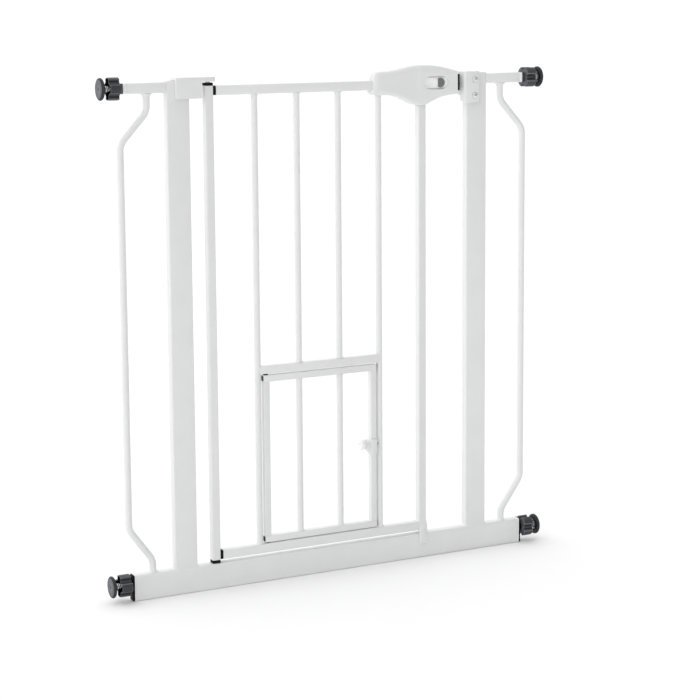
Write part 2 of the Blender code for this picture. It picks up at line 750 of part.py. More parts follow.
def handle_shell(name, parting, face):
    """Half of the handle: a hollow moulding from the parting plane to its flat face."""
    outline = smooth_outline([(x * MM, z * MM) for x, z in HANDLE_OUTLINE])
    out = math.copysign(1.0, face - parting)
    fillet = 3.6 * MM
    bm = bmesh.new()
    origin = Vector((0, 0, 0))
    skin = [ring(bm, outline, origin, "Y", parting)]
    for k in range(4):
        angle = math.pi / 2 * k / 3
        depth = face - out * fillet * (1 - math.sin(angle))
        skin.append(ring(bm, inset(outline, fillet * (1 - math.cos(angle))), origin, "Y", depth))
    inside = inset(outline, SHELL_WALL)
    floor = face - out * SHELL_WALL
    hollow = [
        ring(bm, inside, origin, "Y", parting),
        ring(bm, inside, origin, "Y", floor - out * 1.5 * MM),
        ring(bm, inset(outline, SHELL_WALL + 1.4 * MM), origin, "Y", floor),
    ]
    for first, second in zip(skin, skin[1:]):
        bridge(bm, first, second)
    for first, second in zip(hollow, hollow[1:]):
        bridge(bm, second, first)
    bm.faces.new(skin[-1])
    bm.faces.new(list(reversed(hollow[-1])))
    bridge(bm, hollow[0], skin[0])
    shell = add(name, bm, "white_plastic", "leaf")

    rail_z = LEAF_HIGH - LEAF_RAIL_H / 2
    clearance = 0.4 * MM
    rail_way = prism(
        rounded_rect(LEAF_RAIL_D + 2 * clearance, LEAF_RAIL_H + 2 * clearance, 1.8 * MM),
        Vector((0, LEAF_Y, rail_z)), "X", 60 * MM, 72 * MM,
    )
    boolean(shell, rail_way)
    bar_way = rod((BAR_X[3], LEAF_Y, 0), "Z", 718 * MM, 729 * MM, BAR_R + clearance)
    boolean(shell, bar_way)
    side = UPRIGHT + 2 * clearance
    upright_way = prism(
        rounded_rect(side, side, 1.5 * MM), Vector((LATCH_X, LEAF_Y, 0)), "Z", 700 * MM, 716 * MM,
    )
    boolean(shell, upright_way)
    return shell


def flat_oval(half, rise, count=32, squareness=2.8):
    """A superellipse: flatter above and below than an ellipse, with full round ends."""
    points = []
    for k in range(count):
        angle = 2 * math.pi * k / count
        across, up = math.cos(angle), math.sin(angle)
        across = math.copysign(abs(across) ** (2 / squareness), across)
        up = math.copysign(abs(up) ** (2 / squareness), up)
        points.append((half * across, rise * up))
    return points


def build_handle():
    front = handle_shell("handle_front", LEAF_Y - GAP / 2, SHELL_FRONT)
    back = handle_shell("handle_back", LEAF_Y + GAP / 2, SHELL_BACK)
    bolt_way = box(
        (200 * MM, BOLT_Y - BOLT_T / 2 - 0.4 * MM, BOLT_Z[0] - 0.4 * MM),
        (214 * MM, BOLT_Y + BOLT_T / 2 + 0.4 * MM, BOLT_Z[1] + 0.4 * MM),
    )
    boolean(back, bolt_way)
    window = prism(
        flat_oval(WINDOW_HALF, WINDOW_RISE), Vector((WINDOW_X, 0, WINDOW_Z)), "Y",
        SHELL_FRONT - 2 * MM, SHELL_FRONT + 4 * MM,
    )
    boolean(front, window)

    plate_front = SHELL_FRONT + SHELL_WALL + GAP
    plate_back = plate_front + 1.5 * MM
    slider = add(
        "latch_slider",
        box((147 * MM, plate_front, 727.2 * MM), (201 * MM, plate_back, 749.4 * MM)),
        "white_plastic", "latch",
    )
    carriage_front = LEAF_Y - 5.4 * MM
    stem = box(
        (172 * MM, plate_back - 0.5 * MM, 733 * MM),
        (184 * MM, carriage_front - GAP, 743 * MM),
    )
    boolean(slider, stem, "UNION")
    button_centre = Vector((BUTTON_X, 0, WINDOW_Z))
    outline = [(a, b) for a, b in circle(BUTTON_R, 40) if a > -4.4 * MM]
    split = next(k for k, (a, b) in enumerate(outline) if b < 0 and outline[k - 1][1] > 0 and a < 0)
    outline = outline[split:] + outline[:split]
    button = prism(outline, button_centre, "Y", SHELL_FRONT + 0.4 * MM, plate_front - GAP)
    add("latch_button", button, "grey_plastic", "latch")

    nose = box(
        (CARRIAGE_X[1] - 6 * MM, BOLT_Y - BOLT_T / 2, BOLT_Z[0]),
        (BOLT_TIP, BOLT_Y + BOLT_T / 2, BOLT_Z[1]),
    )
    bolt = add("latch_bolt", nose, "black_plastic", "latch")
    carriage = box(
        (CARRIAGE_X[0], carriage_front, 728.5 * MM),
        (CARRIAGE_X[1], LEAF_Y + 5.4 * MM, 746.5 * MM),
    )
    boolean(bolt, carriage, "UNION")
    spring_axis = (0, LEAF_Y, 737.5 * MM)
    boolean(bolt, rod(spring_axis, "X", CARRIAGE_X[0] - 3 * MM, 186 * MM, 4.1 * MM, 20))
    add("latch_spring", coil(spring_axis, LATCH_X + UPRIGHT / 2 + GAP, 185.5 * MM), "zinc", "leaf")


def coil(axis_point, start, end, turns=6, radius=3.2 * MM, wire=0.5 * MM, per_turn=10, sides=5):
    """A compression spring about an X axis."""
    centre = Vector(axis_point)
    bm = bmesh.new()
    rings = []
    total = turns * per_turn
    rise = end - start - 2 * wire
    for k in range(total + 1):
        angle = 2 * math.pi * k / per_turn
        radial = Vector((0, math.cos(angle), math.sin(angle)))
        place = centre + Vector((start + wire + rise * k / total, 0, 0)) + radial * radius
        along = Vector((rise / total, 0, 0))
        along += Vector((0, -math.sin(angle), math.cos(angle))) * (2 * math.pi * radius / per_turn)
        across = along.normalized().cross(radial)
        rings.append([bm.verts.new(place + radial * a + across * b) for a, b in circle(wire, sides)])
    for first, second in zip(rings, rings[1:]):
        bridge(bm, first, second)
    bm.faces.new(list(reversed(rings[0])))
    bm.faces.new(rings[-1])
    return bm


# ------------------------------------------------------------------ keeper


def build_keeper():
    post_front = -FRAME_D / 2 - GAP
    post_side = POST_IN - GAP
    left, right = KEEPER_X
    plan = [
        (right, KEEPER_FRONT), (right, post_front), (post_side, post_front),
        (post_side, KEEPER_BACK), (left, KEEPER_BACK),
    ]
    for k in range(5):
        turn = math.pi / 2 * k / 4
        plan.append((
            left + KEEPER_ROUND * (1 - math.cos(turn)),
            KEEPER_FRONT + KEEPER_ROUND * (1 - math.sin(turn)),
        ))
    keeper = add("keeper", prism(plan, Vector(), "Z", *KEEPER_Z), "white_plastic")
    bevelled(keeper, 0.9 * MM)
    for front, rise in ((post_front, 2.5 * MM), (0.5 * MM, 11 * MM)):
        step = box(
            (left - 5 * MM, front, KEEPER_Z[0] - 5 * MM),
            (post_side + 5 * MM, KEEPER_BACK + 5 * MM, KEEPER_Z[0] + rise),
        )
        boolean(keeper, step)
    slot = box(
        (KEEPER_X[0] - 3 * MM, BOLT_Y - BOLT_T / 2 - 0.5 * MM, BOLT_Z[0] - 0.5 * MM),
        (post_side + 1 * MM, BOLT_Y + BOLT_T / 2 + 0.5 * MM, BOLT_Z[1] + 0.5 * MM),
    )
    boolean(keeper, slot)
    for level, z in SCREW_Z.items():
        boolean(keeper, rod((SCREW_X, 0, z), "Y", KEEPER_FRONT - 2 * MM, post_front + 2 * MM, 2.3 * MM, 16))
        head = KEEPER_FRONT - GAP
        screw = turned(
            [
                (head - 2.3 * MM, 1.2 * MM), (head - 2.1 * MM, 2.4 * MM), (head - 1.4 * MM, 3.7 * MM),
                (head - 0.5 * MM, 4.5 * MM), (head, 4.6 * MM), (head, 2.0 * MM), (-4.0 * MM, 2.0 * MM),
                (-2.5 * MM, 0.8 * MM),
            ],
            (SCREW_X, 0, z), "Y", 16,
        )
        add(f"keeper_screw_{level}", screw, "zinc")


clear_scene()
build_frame()
for which, direction in (("left", -1), ("right", 1)):
    for height in ("upper", "lower"):
        build_mount(which, direction, height)
build_hinge()
build_leaf()
build_pet_door()
build_handle()
build_keeper()
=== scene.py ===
"""The looks of a walk-through pressure gate with a small pet door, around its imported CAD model.

Metres, +Z up. +X runs from the hinge side to the latch side and the leaf opens towards -Y.
"""

import json
import math

import bmesh
import bpy
import numpy as np
from mathutils import Matrix, Vector, noise


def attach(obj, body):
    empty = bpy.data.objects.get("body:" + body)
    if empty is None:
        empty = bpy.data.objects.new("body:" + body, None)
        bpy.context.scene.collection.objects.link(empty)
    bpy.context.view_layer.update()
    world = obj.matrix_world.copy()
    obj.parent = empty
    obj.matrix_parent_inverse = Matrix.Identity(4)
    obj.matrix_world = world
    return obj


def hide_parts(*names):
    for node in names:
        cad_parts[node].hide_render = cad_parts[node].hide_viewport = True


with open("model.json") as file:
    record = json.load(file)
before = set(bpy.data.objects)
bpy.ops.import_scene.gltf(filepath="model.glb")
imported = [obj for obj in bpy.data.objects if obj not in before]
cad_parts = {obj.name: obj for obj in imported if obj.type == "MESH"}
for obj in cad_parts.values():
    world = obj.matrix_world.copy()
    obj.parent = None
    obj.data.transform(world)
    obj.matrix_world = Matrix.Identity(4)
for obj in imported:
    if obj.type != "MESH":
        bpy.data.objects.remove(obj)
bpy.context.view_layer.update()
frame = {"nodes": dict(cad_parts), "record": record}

MM = 0.001

RAIL_END = 326.0 * MM
RAIL_H = 39.0 * MM
FRAME_D = 14.0 * MM
POST_IN = 227.5 * MM
POST_OUT = 262.5 * MM
POST_TOP = 752.0 * MM
STUB_END = 324.0 * MM
STUB_H = 15.0 * MM
STUB_Z = 742.5 * MM
SIDE_BAR_R = 5.0 * MM
WALL = 1.2 * MM

LEAF_Y = -1.5 * MM
UPRIGHT = 12.5 * MM
HINGE_X = -197.25 * MM
LATCH_X = 149.75 * MM
LEAF_LOW = 44.0 * MM
LEAF_HIGH = 743.5 * MM
LEAF_RAIL_D = 12.0 * MM
LEAF_RAIL_H = 14.0 * MM
BAR_R = 4.75 * MM
BAR_X = (-125.0 * MM, -57.5 * MM, 10.0 * MM, 77.5 * MM)
CROSS_Z = (316.0 * MM, 328.5 * MM)

PET_X = (-117.5 * MM, 70.5 * MM)
PET_Z = (59.5 * MM, 314.0 * MM)
PET_TUBE = 10.0 * MM
PULL_Z = 190.0 * MM

SHELL_FRONT = -13.0 * MM
SHELL_BACK = 10.0 * MM
SHELL_WALL = 2.5 * MM
HANDLE_CREST = 765.0 * MM
HANDLE_CORNERS = [(66.0, 723.4), (209.1, 721.9), (209.1, 753.3), (70.5, 754.8)]
WINDOW = (171.8 * MM, 738.2 * MM)
WINDOW_HALF = 20.8 * MM
WINDOW_RISE = 10.0 * MM
BUTTON_X = 179.0 * MM
BUTTON_R = 7.2 * MM
BOLT_Z = (725.5 * MM, 749.5 * MM)
BOLT_Y = 4.5 * MM
BOLT_T = 5.0 * MM

SPINDLE_R = 4.5 * MM
PITCH = 2.5 * MM
NUT_X = (331.8 * MM, 348.2 * MM)
NUT_R = 16.2 * MM
NUT_VALLEY = 11.8 * MM
NUT_RECESS = 10.5 * MM
PAD_X = (355.9 * MM, 361.0 * MM)
MOUNT_Z = {"lower": 24.4 * MM, "upper": STUB_Z}

SADDLE_X = (-250.0 * MM, -210.0 * MM)
SADDLE_Z = (726.0 * MM, 756.0 * MM)
SADDLE_HALF = 12.0 * MM
FLANGE_Z = 749.5 * MM
FLANGE_END = -189.5 * MM
PIN_HOLE_R = 3.3 * MM

KEEPER_X = (220.0 * MM, 246.0 * MM)
KEEPER_Y = (-14.0 * MM, 9.0 * MM)
KEEPER_Z = (706.5 * MM, 754.0 * MM)
KEEPER_ROUND = 4.4 * MM
KEEPER_SCREW_X = 238.5 * MM
KEEPER_SCREW_Z = {"upper": 741.7 * MM, "lower": 717.4 * MM}

SLIDER_X = (147.0 * MM, 201.0 * MM)
SLIDER_Z = (727.2 * MM, 749.4 * MM)
CARRIAGE_X = (168.0 * MM, 196.0 * MM)
CARRIAGE_Z = (728.5 * MM, 746.5 * MM)
CARRIAGE_HALF = 5.4 * MM
BOLT_TIP = 226.5 * MM
SPRING_Z = 737.5 * MM
SPRING_END = 186.0 * MM
SPRING_BORE_R = 4.1 * MM

X_WAY = Vector((1, 0, 0))
Y_WAY = Vector((0, 1, 0))
Z_WAY = Vector((0, 0, 1))

# The handle seen from the front, in millimetres: along X, up Z.
HANDLE_OUTLINE = [
    (79.6, 721.6), (92.0, 721.2), (103.0, 719.6), (113.4, 716.2), (123.0, 711.6),
    (132.0, 707.3), (140.0, 705.0), (149.0, 704.6), (157.0, 706.3), (165.0, 710.0),
    (174.0, 713.8), (184.0, 716.8), (194.0, 718.7), (202.0, 719.8), (207.4, 720.4),
    (209.1, 721.9), (209.4, 726.0), (209.4, 737.0), (209.4, 748.0), (209.1, 753.3),
    (207.6, 755.3), (201.0, 757.3), (193.0, 759.5), (179.0, 762.7), (166.0, 764.3),
    (153.0, 765.0), (140.0, 764.8), (127.0, 763.4), (114.0, 760.6), (102.0, 758.2),
    (90.0, 756.9), (78.0, 756.3), (70.5, 754.8), (67.4, 749.6), (66.2, 742.0),
    (64.9, 734.0), (64.0, 727.5), (66.0, 723.4), (71.5, 722.0),
]


# ---- materials


PATCHES_PER_METRE = 22.0
SPECKLES_PER_METRE = 900.0
GLOSS_PER_METRE = 130.0
# Pointiness over which the painted edge highlight or painted edge shade comes in.
EDGE_POINTINESS = (0.508, 0.575)

def link(tree, source, target):
    tree.links.new(source, target)


def noise_node(tree, coords, scale, detail=2.0, rough=0.5):
    node = tree.nodes.new("ShaderNodeTexNoise")
    node.inputs["Scale"].default_value = scale
    node.inputs["Detail"].default_value = detail
    node.inputs["Roughness"].default_value = rough
    link(tree, coords, node.inputs["Vector"])
    return node.outputs["Fac"]


def remap(tree, value, low, high, start=0.3, end=0.7):
    node = tree.nodes.new("ShaderNodeMapRange")
    node.inputs["From Min"].default_value = start
    node.inputs["From Max"].default_value = end
    node.inputs["To Min"].default_value = low
    node.inputs["To Max"].default_value = high
    link(tree, value, node.inputs["Value"])
    return node.outputs["Result"]


def mix_colour(tree, factor, first, second):
    node = tree.nodes.new("ShaderNodeMix")
    node.data_type = "RGBA"
    link(tree, factor, node.inputs[0])
    for value, socket in ((first, node.inputs[6]), (second, node.inputs[7])):
        if isinstance(value, tuple):
            socket.default_value = (*value, 1.0)
        else:
            link(tree, value, socket)
    return node.outputs[2]


def bump(tree, height, depth, normal=None):
    node = tree.nodes.new("ShaderNodeBump")
    node.inputs["Strength"].default_value = 1.0
    node.inputs["Distance"].default_value = depth
    link(tree, height, node.inputs["Height"])
    if normal is not None:
        link(tree, normal, node.inputs["Normal"])
    return node.outputs["Normal"]


def surface(
    name, colour, shade, roughness, layers, metallic=0.0, coat=0.0, edge=None, spread=0.05, specular=0.5,
):
    """A mottled, faintly bumpy surface, with painted highlight or painted shade along its edges.

    layers are (features per metre, depth) of each bump. spread is how far the roughness wanders.
    """
    made = bpy.data.materials.new(name)
    made.use_nodes = True
    tree = made.node_tree
    shader = tree.nodes["Principled BSDF"]
    coords = tree.nodes.new("ShaderNodeTexCoord").outputs["Object"]
    patches = noise_node(tree, coords, PATCHES_PER_METRE, 3.0, 0.6)
    speckle = noise_node(tree, coords, SPECKLES_PER_METRE, 2.0, 0.6)
    base = mix_colour(tree, remap(tree, patches, 0.0, 1.0), shade, colour)
    fine = tuple(c * 0.965 for c in colour)
    base = mix_colour(tree, remap(tree, speckle, 0.0, 0.35, 0.45, 0.75), base, fine)
    # Painted light: along convex edges the colour moves towards edge. This is a painted highlight where edge
    # is paler and painted shade where it is darker.
    if edge:
        pointed = tree.nodes.new("ShaderNodeNewGeometry").outputs["Pointiness"]
        painted_edge_light = remap(tree, pointed, 0.0, 1.0, *EDGE_POINTINESS)
        base = mix_colour(tree, painted_edge_light, base, edge)
    link(tree, base, shader.inputs["Base Color"])
    gloss = noise_node(tree, coords, GLOSS_PER_METRE, 3.0, 0.6)
    link(tree, remap(tree, gloss, roughness - spread, roughness + spread), shader.inputs["Roughness"])
    shader.inputs["Metallic"].default_value = metallic
    shader.inputs["Specular IOR Level"].default_value = specular
    shader.inputs["Coat Weight"].default_value = coat
    normal = None
    for scale, depth in layers:
        normal = bump(tree, noise_node(tree, coords, scale, 2.0, 0.55), depth, normal)
    link(tree, normal, shader.inputs["Normal"])
    return made


POWDER = surface(
    "powder_coat", (0.800, 0.803, 0.806), (0.775, 0.778, 0.782), 0.40,
    ((420.0, 0.000030), (1500.0, 0.000008)), coat=0.12,
)
WHITE = surface(
    "white_moulding", (0.785, 0.788, 0.792), (0.765, 0.768, 0.773), 0.34,
    ((160.0, 0.000030), (2600.0, 0.000005)), coat=0.10,
)
# A paler, glossier copy of the white moulding; on the slider plate its extra paleness is partly painted
# light.
BRIGHT = surface(
    "bright_moulding", (0.90, 0.90, 0.90), (0.885, 0.885, 0.885), 0.26,
    ((160.0, 0.000020), (2600.0, 0.000003)), coat=0.25,
)
GREY = surface(
    "grey_moulding", (0.165, 0.167, 0.170), (0.150, 0.152, 0.155), 0.42,
    ((300.0, 0.00002), (2400.0, 0.000010)),
)
# Its paler edge colour is a painted highlight along the nuts' lobes and rims.
CHARCOAL = surface(
    "charcoal_nylon", (0.0135, 0.0148, 0.0190), (0.0105, 0.0118, 0.0150), 0.38,
    ((260.0, 0.00003), (2000.0, 0.000014)), edge=(0.19, 0.20, 0.225), spread=0.08, specular=0.30,
)
# Its paler edge colour is a painted highlight along its edges.
SOOT = surface(
    "soot_nylon", (0.0095, 0.0105, 0.0130), (0.0070, 0.0080, 0.0100), 0.44,
    ((260.0, 0.00003), (2000.0, 0.000014)), edge=(0.085, 0.09, 0.10), spread=0.06, specular=0.20,
)
# Its paler edge colour is a painted highlight along the pad's edges.
RUBBER = surface(
    "pad_rubber", (0.105, 0.111, 0.122), (0.085, 0.091, 0.102), 0.62,
    ((350.0, 0.00003), (1700.0, 0.000020)), edge=(0.17, 0.18, 0.20), spread=0.08,
)
# Its slightly paler edge colour is a painted highlight along its edges.
BLACK = surface(
    "black_moulding", (0.0045, 0.0045, 0.0050), (0.0035, 0.0035, 0.0038), 0.52,
    ((300.0, 0.00002), (2200.0, 0.000010)), edge=(0.012, 0.012, 0.013), specular=0.06,
)
ZINC = surface(
    "bright_zinc", (0.60, 0.605, 0.61), (0.50, 0.505, 0.515), 0.25,
    ((500.0, 0.000006), (3200.0, 0.000004)), metallic=1.0, spread=0.07,
)
# Its darker edge colour is painted shade round the screw heads' rims and the edges of the cross recess.
PLATED = surface(
    "plated_screw", (0.88, 0.88, 0.885), (0.76, 0.76, 0.77), 0.24,
    ((500.0, 0.000006), (3200.0, 0.000004)), metallic=0.55, spread=0.06, edge=(0.22, 0.22, 0.23),
)
BY_SLOT = {
    "powder_coat": POWDER, "white_plastic": WHITE, "grey_plastic": GREY,
    "dark_plastic": CHARCOAL, "black_plastic": BLACK, "zinc": ZINC,
}
SLOT_OF = {made.name: slot for slot, made in BY_SLOT.items()}
SLOT_OF.update({
    BRIGHT.name: "white_plastic", RUBBER.name: "dark_plastic", SOOT.name: "dark_plastic", PLATED.name: "zinc",
})


# ---- mesh helpers


def piece(name, bm, made, body, node=None, sharp=40):
    """A finished piece that rides on a body and may stand for a CAD node."""
    bmesh.ops.recalc_face_normals(bm, faces=bm.faces)
    mesh = bpy.data.meshes.new(name)
    bm.to_mesh(mesh)
    bm.free()
    mesh.shade_smooth()
    mesh.set_sharp_from_angle(angle=math.radians(sharp))
    obj = bpy.data.objects.new(name, mesh)
    bpy.context.scene.collection.objects.link(obj)
    mesh.materials.append(made)
    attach(obj, body)
    if node:
        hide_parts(node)
    return obj


def cut(obj, bm, operation="DIFFERENCE", sharp=40):
    """Cut a shape out of a piece, or join it on, and keep the result as a plain mesh."""
    bmesh.ops.recalc_face_normals(bm, faces=bm.faces)
    mesh = bpy.data.meshes.new("tool")
    bm.to_mesh(mesh)
    bm.free()
    tool = bpy.data.objects.new("tool", mesh)
    bpy.context.scene.collection.objects.link(tool)
    step = obj.modifiers.new("cut", "BOOLEAN")
    step.operation = operation
    step.solver = "EXACT"
    step.object = tool
    apply_modifiers(obj, sharp)
    bpy.data.objects.remove(tool)
    bpy.data.meshes.remove(mesh)


def apply_modifiers(obj, sharp=40):
    """Replace the mesh with its evaluated self, cleaned of doubled points."""
    bpy.context.view_layer.update()
    graph = bpy.context.evaluated_depsgraph_get()
    result = bpy.data.meshes.new_from_object(obj.evaluated_get(graph), depsgraph=graph)
    obj.modifiers.clear()
    old = obj.data
    bm = bmesh.new()
    bm.from_mesh(result)
    bmesh.ops.remove_doubles(bm, verts=bm.verts, dist=0.000001)
    bmesh.ops.dissolve_degenerate(bm, edges=bm.edges, dist=0.000001)
    bm.to_mesh(result)
    bm.free()
    result.shade_smooth()
    result.set_sharp_from_angle(angle=math.radians(sharp))
    obj.data = result
    bpy.data.meshes.remove(old)


def bevelled(obj, width):
    step = obj.modifiers.new("edges", "BEVEL")
    step.width = width
    step.segments = 4
    step.limit_method = "ANGLE"
    step.angle_limit = math.radians(35)
    apply_modifiers(obj)


AXES = {
    "X": (Vector((0, 1, 0)), Vector((0, 0, 1)), Vector((1, 0, 0))),
    "Y": (Vector((1, 0, 0)), Vector((0, 0, 1)), Vector((0, 1, 0))),
    "Z": (Vector((1, 0, 0)), Vector((0, 1, 0)), Vector((0, 0, 1))),
}


def at(points, centre, axis, along):
    """Lay a flat outline across an axis, at a distance along it."""
    u, v, w = AXES[axis]
    centre = Vector(centre)
    return [centre + u * a + v * b + w * along for a, b in points]


def circle(radius, count):
    turn = 2 * math.pi / count
    return [(radius * math.cos(turn * k), radius * math.sin(turn * k)) for k in range(count)]


def rounded_rect(width, height, radius, steps=6):
    points = []
    for turn, (sx, sy) in enumerate([(1, 1), (-1, 1), (-1, -1), (1, -1)]):
        cx = sx * (width / 2 - radius)
        cy = sy * (height / 2 - radius)
        for k in range(steps + 1):
            angle = math.pi / 2 * (turn + k / steps)
            points.append((cx + radius * math.cos(angle), cy + radius * math.sin(angle)))
    return points


def bridge(bm, first, second):
    count = len(first)
    for k in range(count):
        m = (k + 1) % count
        bm.faces.new((first[k], first[m], second[m], second[k]))


def skin(loops, join=False):
    """A surface through loops of points. Its ends are capped, or joined to each other."""
    bm = bmesh.new()
    rows = [[bm.verts.new(p) for p in loop] for loop in loops]
    for first, second in zip(rows, rows[1:]):
        bridge(bm, first, second)
    if join:
        bridge(bm, rows[-1], rows[0])
    else:
        bm.faces.new(list(reversed(rows[0])))
        bm.faces.new(rows[-1])
    return bm


def blocks(size, corner, centre, axis, stations):
    """Loops of one rounded rectangle. stations are (distance along, inset in millimetres)."""
    width, height = size
    return [
        at(rounded_rect(width - 2 * inset * MM, height - 2 * inset * MM, corner), centre, axis, along)
        for along, inset in stations
    ]


def prism(points, centre, axis, low, high):
    return skin([at(points, centre, axis, low), at(points, centre, axis, high)])


def box(low, high):
    low = Vector(low)
    high = Vector(high)
    bm = bmesh.new()
    size = Matrix.Diagonal((*(high - low), 1.0))
    bmesh.ops.create_cube(bm, size=1.0, matrix=Matrix.Translation((low + high) / 2) @ size)
    return bm


def merge(target, source):
    """Move one bmesh's faces into another."""
    made = {v: target.verts.new(v.co) for v in source.verts}
    for face in source.faces:
        target.faces.new([made[v] for v in face.verts])
    source.free()


EASE = ((0.0, 0.45), (0.08, 0.22), (0.22, 0.08), (0.45, 0.0))


def tube(node, centre, axis, low, high, size, corner, body, wall=WALL, capped=False):
    """Square tube with eased cut ends. A capped tube is closed at its high end."""
    width, height = size

    def section(along, inset):
        points = rounded_rect(width - 2 * inset, height - 2 * inset, max(corner - inset, 0.3 * MM))
        return at(points, centre, axis, along)

    loops = [section(low + along * MM, inset * MM) for along, inset in EASE]
    loops += [section(high - along * MM, inset * MM) for along, inset in reversed(EASE)]
    inner = rounded_rect(width - 2 * wall, height - 2 * wall, max(corner - wall, 0.4 * MM))
    if capped:
        bore = [at(inner, centre, axis, high - wall), at(inner, centre, axis, low)]
        bm = bmesh.new()
        rows = [[bm.verts.new(p) for p in loop] for loop in loops + bore]
        for k, (first, second) in enumerate(zip(rows, rows[1:])):
            if k != len(loops) - 1:
                bridge(bm, first, second)
        bm.faces.new(rows[len(loops) - 1])
        bm.faces.new(list(reversed(rows[len(loops)])))
        bridge(bm, rows[-1], rows[0])
    else:
        bore = [at(inner, centre, axis, high), at(inner, centre, axis, low)]
        bm = skin(loops + bore, join=True)
    return piece(f"{node}_tube", bm, POWDER, body, node)


def flare(share):
    """The concave rise of a weld from nothing to its full spread."""
    return (1 - share) ** 2.2


def bar(node, x, low, high, body, spread, rise, count=28):
    """Round bar with a welded foot at both ends. spread is how far each foot reaches in X and Y."""
    steps = [0.0, 0.12, 0.28, 0.48, 0.72, 1.0]
    levels = [(low + rise * s, flare(s)) for s in steps]
    levels += [(high - rise * s, flare(s)) for s in reversed(steps)]
    loops = []
    for z, share in levels:
        loop = []
        for k in range(count):
            angle = 2 * math.pi * k / count
            wobble = 1 + 0.16 * share * noise.noise(Vector((math.cos(angle) * 1.7, x * 90, z * 55)))
            rx = (BAR_R + spread[0] * share) * wobble
            ry = (BAR_R + spread[1] * share) * wobble
            loop.append(Vector((x + rx * math.cos(angle), LEAF_Y + ry * math.sin(angle), z)))
        loops.append(loop)
    return piece(f"{node}_round", skin(loops), POWDER, body, node)


def add_fillet(bm, corner, along, first, second, length, reach):
    """A weld bead in an inside corner: first and second point away along the two faces."""
    corner = Vector(corner)
    along = Vector(along)
    first = Vector(first)
    second = Vector(second)
    count = max(6, int(length / (0.8 * MM)))
    loops = []
    for k in range(count + 1):
        share = k / count
        taper = min(1.0, 3.5 * share, 3.5 * (1 - share))
        size = reach * (0.35 + 0.65 * math.sin(math.pi / 2 * taper))
        size *= 1 + 0.05 * math.sin(9.0 * k) + 0.05 * math.sin(2.3 * k + corner.x * 700)
        place = corner + along * (length * (share - 0.5))
        sunk = -0.25 * MM
        loop = [place + first * sunk + second * sunk, place + first * size + second * sunk]
        for n in range(7):
            angle = math.pi / 2 * n / 6
            loop.append(
                place + first * (size * (1 - math.sin(angle))) + second * (size * (1 - math.cos(angle)))
            )
        loop.append(place + first * sunk + second * size)
        loops.append(loop)
    merge(bm, skin(loops))


def turned(name, profile, centre, axis, made, body, node=None, count=64, sharp=40):
    """A solid of revolution from (along, radius) pairs."""
    loops = [at(circle(max(r, 0.02 * MM), count), centre, axis, along) for along, r in profile]
    return piece(name, skin(loops), made, body, node, sharp)


def outward(profile, sign):
    """(along, radius) pairs in millimetres, on the gate's left or right side, in metres."""
    return [(sign * along * MM, radius * MM) for along, radius in profile]


# ---- frame


def bent_path(corners, radius, steps=14):
    """A polyline in the XZ plane with each inner corner turned into an arc."""
    points = [Vector(corners[0])]
    for before, corner, after in zip(corners, corners[1:], corners[2:]):
        corner = Vector(corner)
        back = (Vector(before) - corner).normalized()
        ahead = (Vector(after) - corner).normalized()
        half = back.angle(ahead) / 2
        reach = radius / math.tan(half)
        middle = corner + (back + ahead).normalized() * (radius / math.sin(half))
        start = corner + back * reach - middle
        end = corner + ahead * reach - middle
        sweep = start.angle(end)
        for k in range(steps + 1):
            share = k / steps
            blend = start * math.sin((1 - share) * sweep) + end * math.sin(share * sweep)
            points.append(middle + blend / math.sin(sweep))
    points.append(Vector(corners[-1]))
    return points


def side_bar(side, sign):
    """The bent round bar outside a post, with a welded foot at each end."""
    top = STUB_Z - STUB_H / 2
    corners = [
        (sign * 290.5 * MM, 0, top), (sign * 290.5 * MM, 0, 709 * MM),
        (sign * 331 * MM, 0, 664 * MM), (sign * 331 * MM, 0, 106 * MM),
        (sign * 295.5 * MM, 0, 57 * MM), (sign * 295.5 * MM, 0, RAIL_H),
    ]
    path = bent_path(corners, 24 * MM)
    rise = 6.0 * MM
    steps = [0.0, 0.1, 0.22, 0.38, 0.58, 0.8, 1.0]
    first = [(Vector((path[0].x, 0, top - rise * s)), flare(s)) for s in steps]
    last = [(Vector((path[-1].x, 0, RAIL_H + rise * 0.7 * s)), flare(s)) for s in reversed(steps)]
    stations = first + [(p, 0.0) for p in path[1:-1]] + last
    count = 32
    loops = []
    final = len(stations) - 1
    for k, (point, share) in enumerate(stations):
        along = (stations[min(k + 1, final)][0] - stations[max(k - 1, 0)][0]).normalized()
        across = along.cross(Y_WAY)
        wide = (5.2 if k < len(first) else 3.0) * MM
        loop = []
        for n in range(count):
            angle = 2 * math.pi * n / count
            wobble = 1 + 0.12 * share * noise.noise(Vector((math.cos(angle) * 2, sign * 3, point.z * 60)))
            ry = (SIDE_BAR_R + 1.7 * MM * share) * wobble
            rx = (SIDE_BAR_R + wide * share) * wobble
            loop.append(point + Y_WAY * (ry * math.cos(angle)) + across * (rx * math.sin(angle)))
        loops.append(loop)
    piece(f"side_bar_{side}_round", skin(loops), POWDER, "frame", f"side_bar_{side}")


def collar(name, centre, size, corner, low, high):
    """The pale lip of a plastic plug between a tube's cut end and the plug's dark plate."""
    width, height = size
    outer = rounded_rect(width, height, corner)
    eased = rounded_rect(width - 0.5 * MM, height - 0.5 * MM, corner - 0.2 * MM)
    inner = rounded_rect(width - 2 * WALL, height - 2 * WALL, max(corner - WALL, 0.4 * MM))
    step = math.copysign(0.25 * MM, high - low)
    loops = [
        at(eased, centre, "X", low), at(outer, centre, "X", low + step),
        at(outer, centre, "X", high - step), at(eased, centre, "X", high),
        at(inner, centre, "X", high), at(inner, centre, "X", low),
    ]
    piece(name, skin(loops, join=True), BRIGHT, "frame")


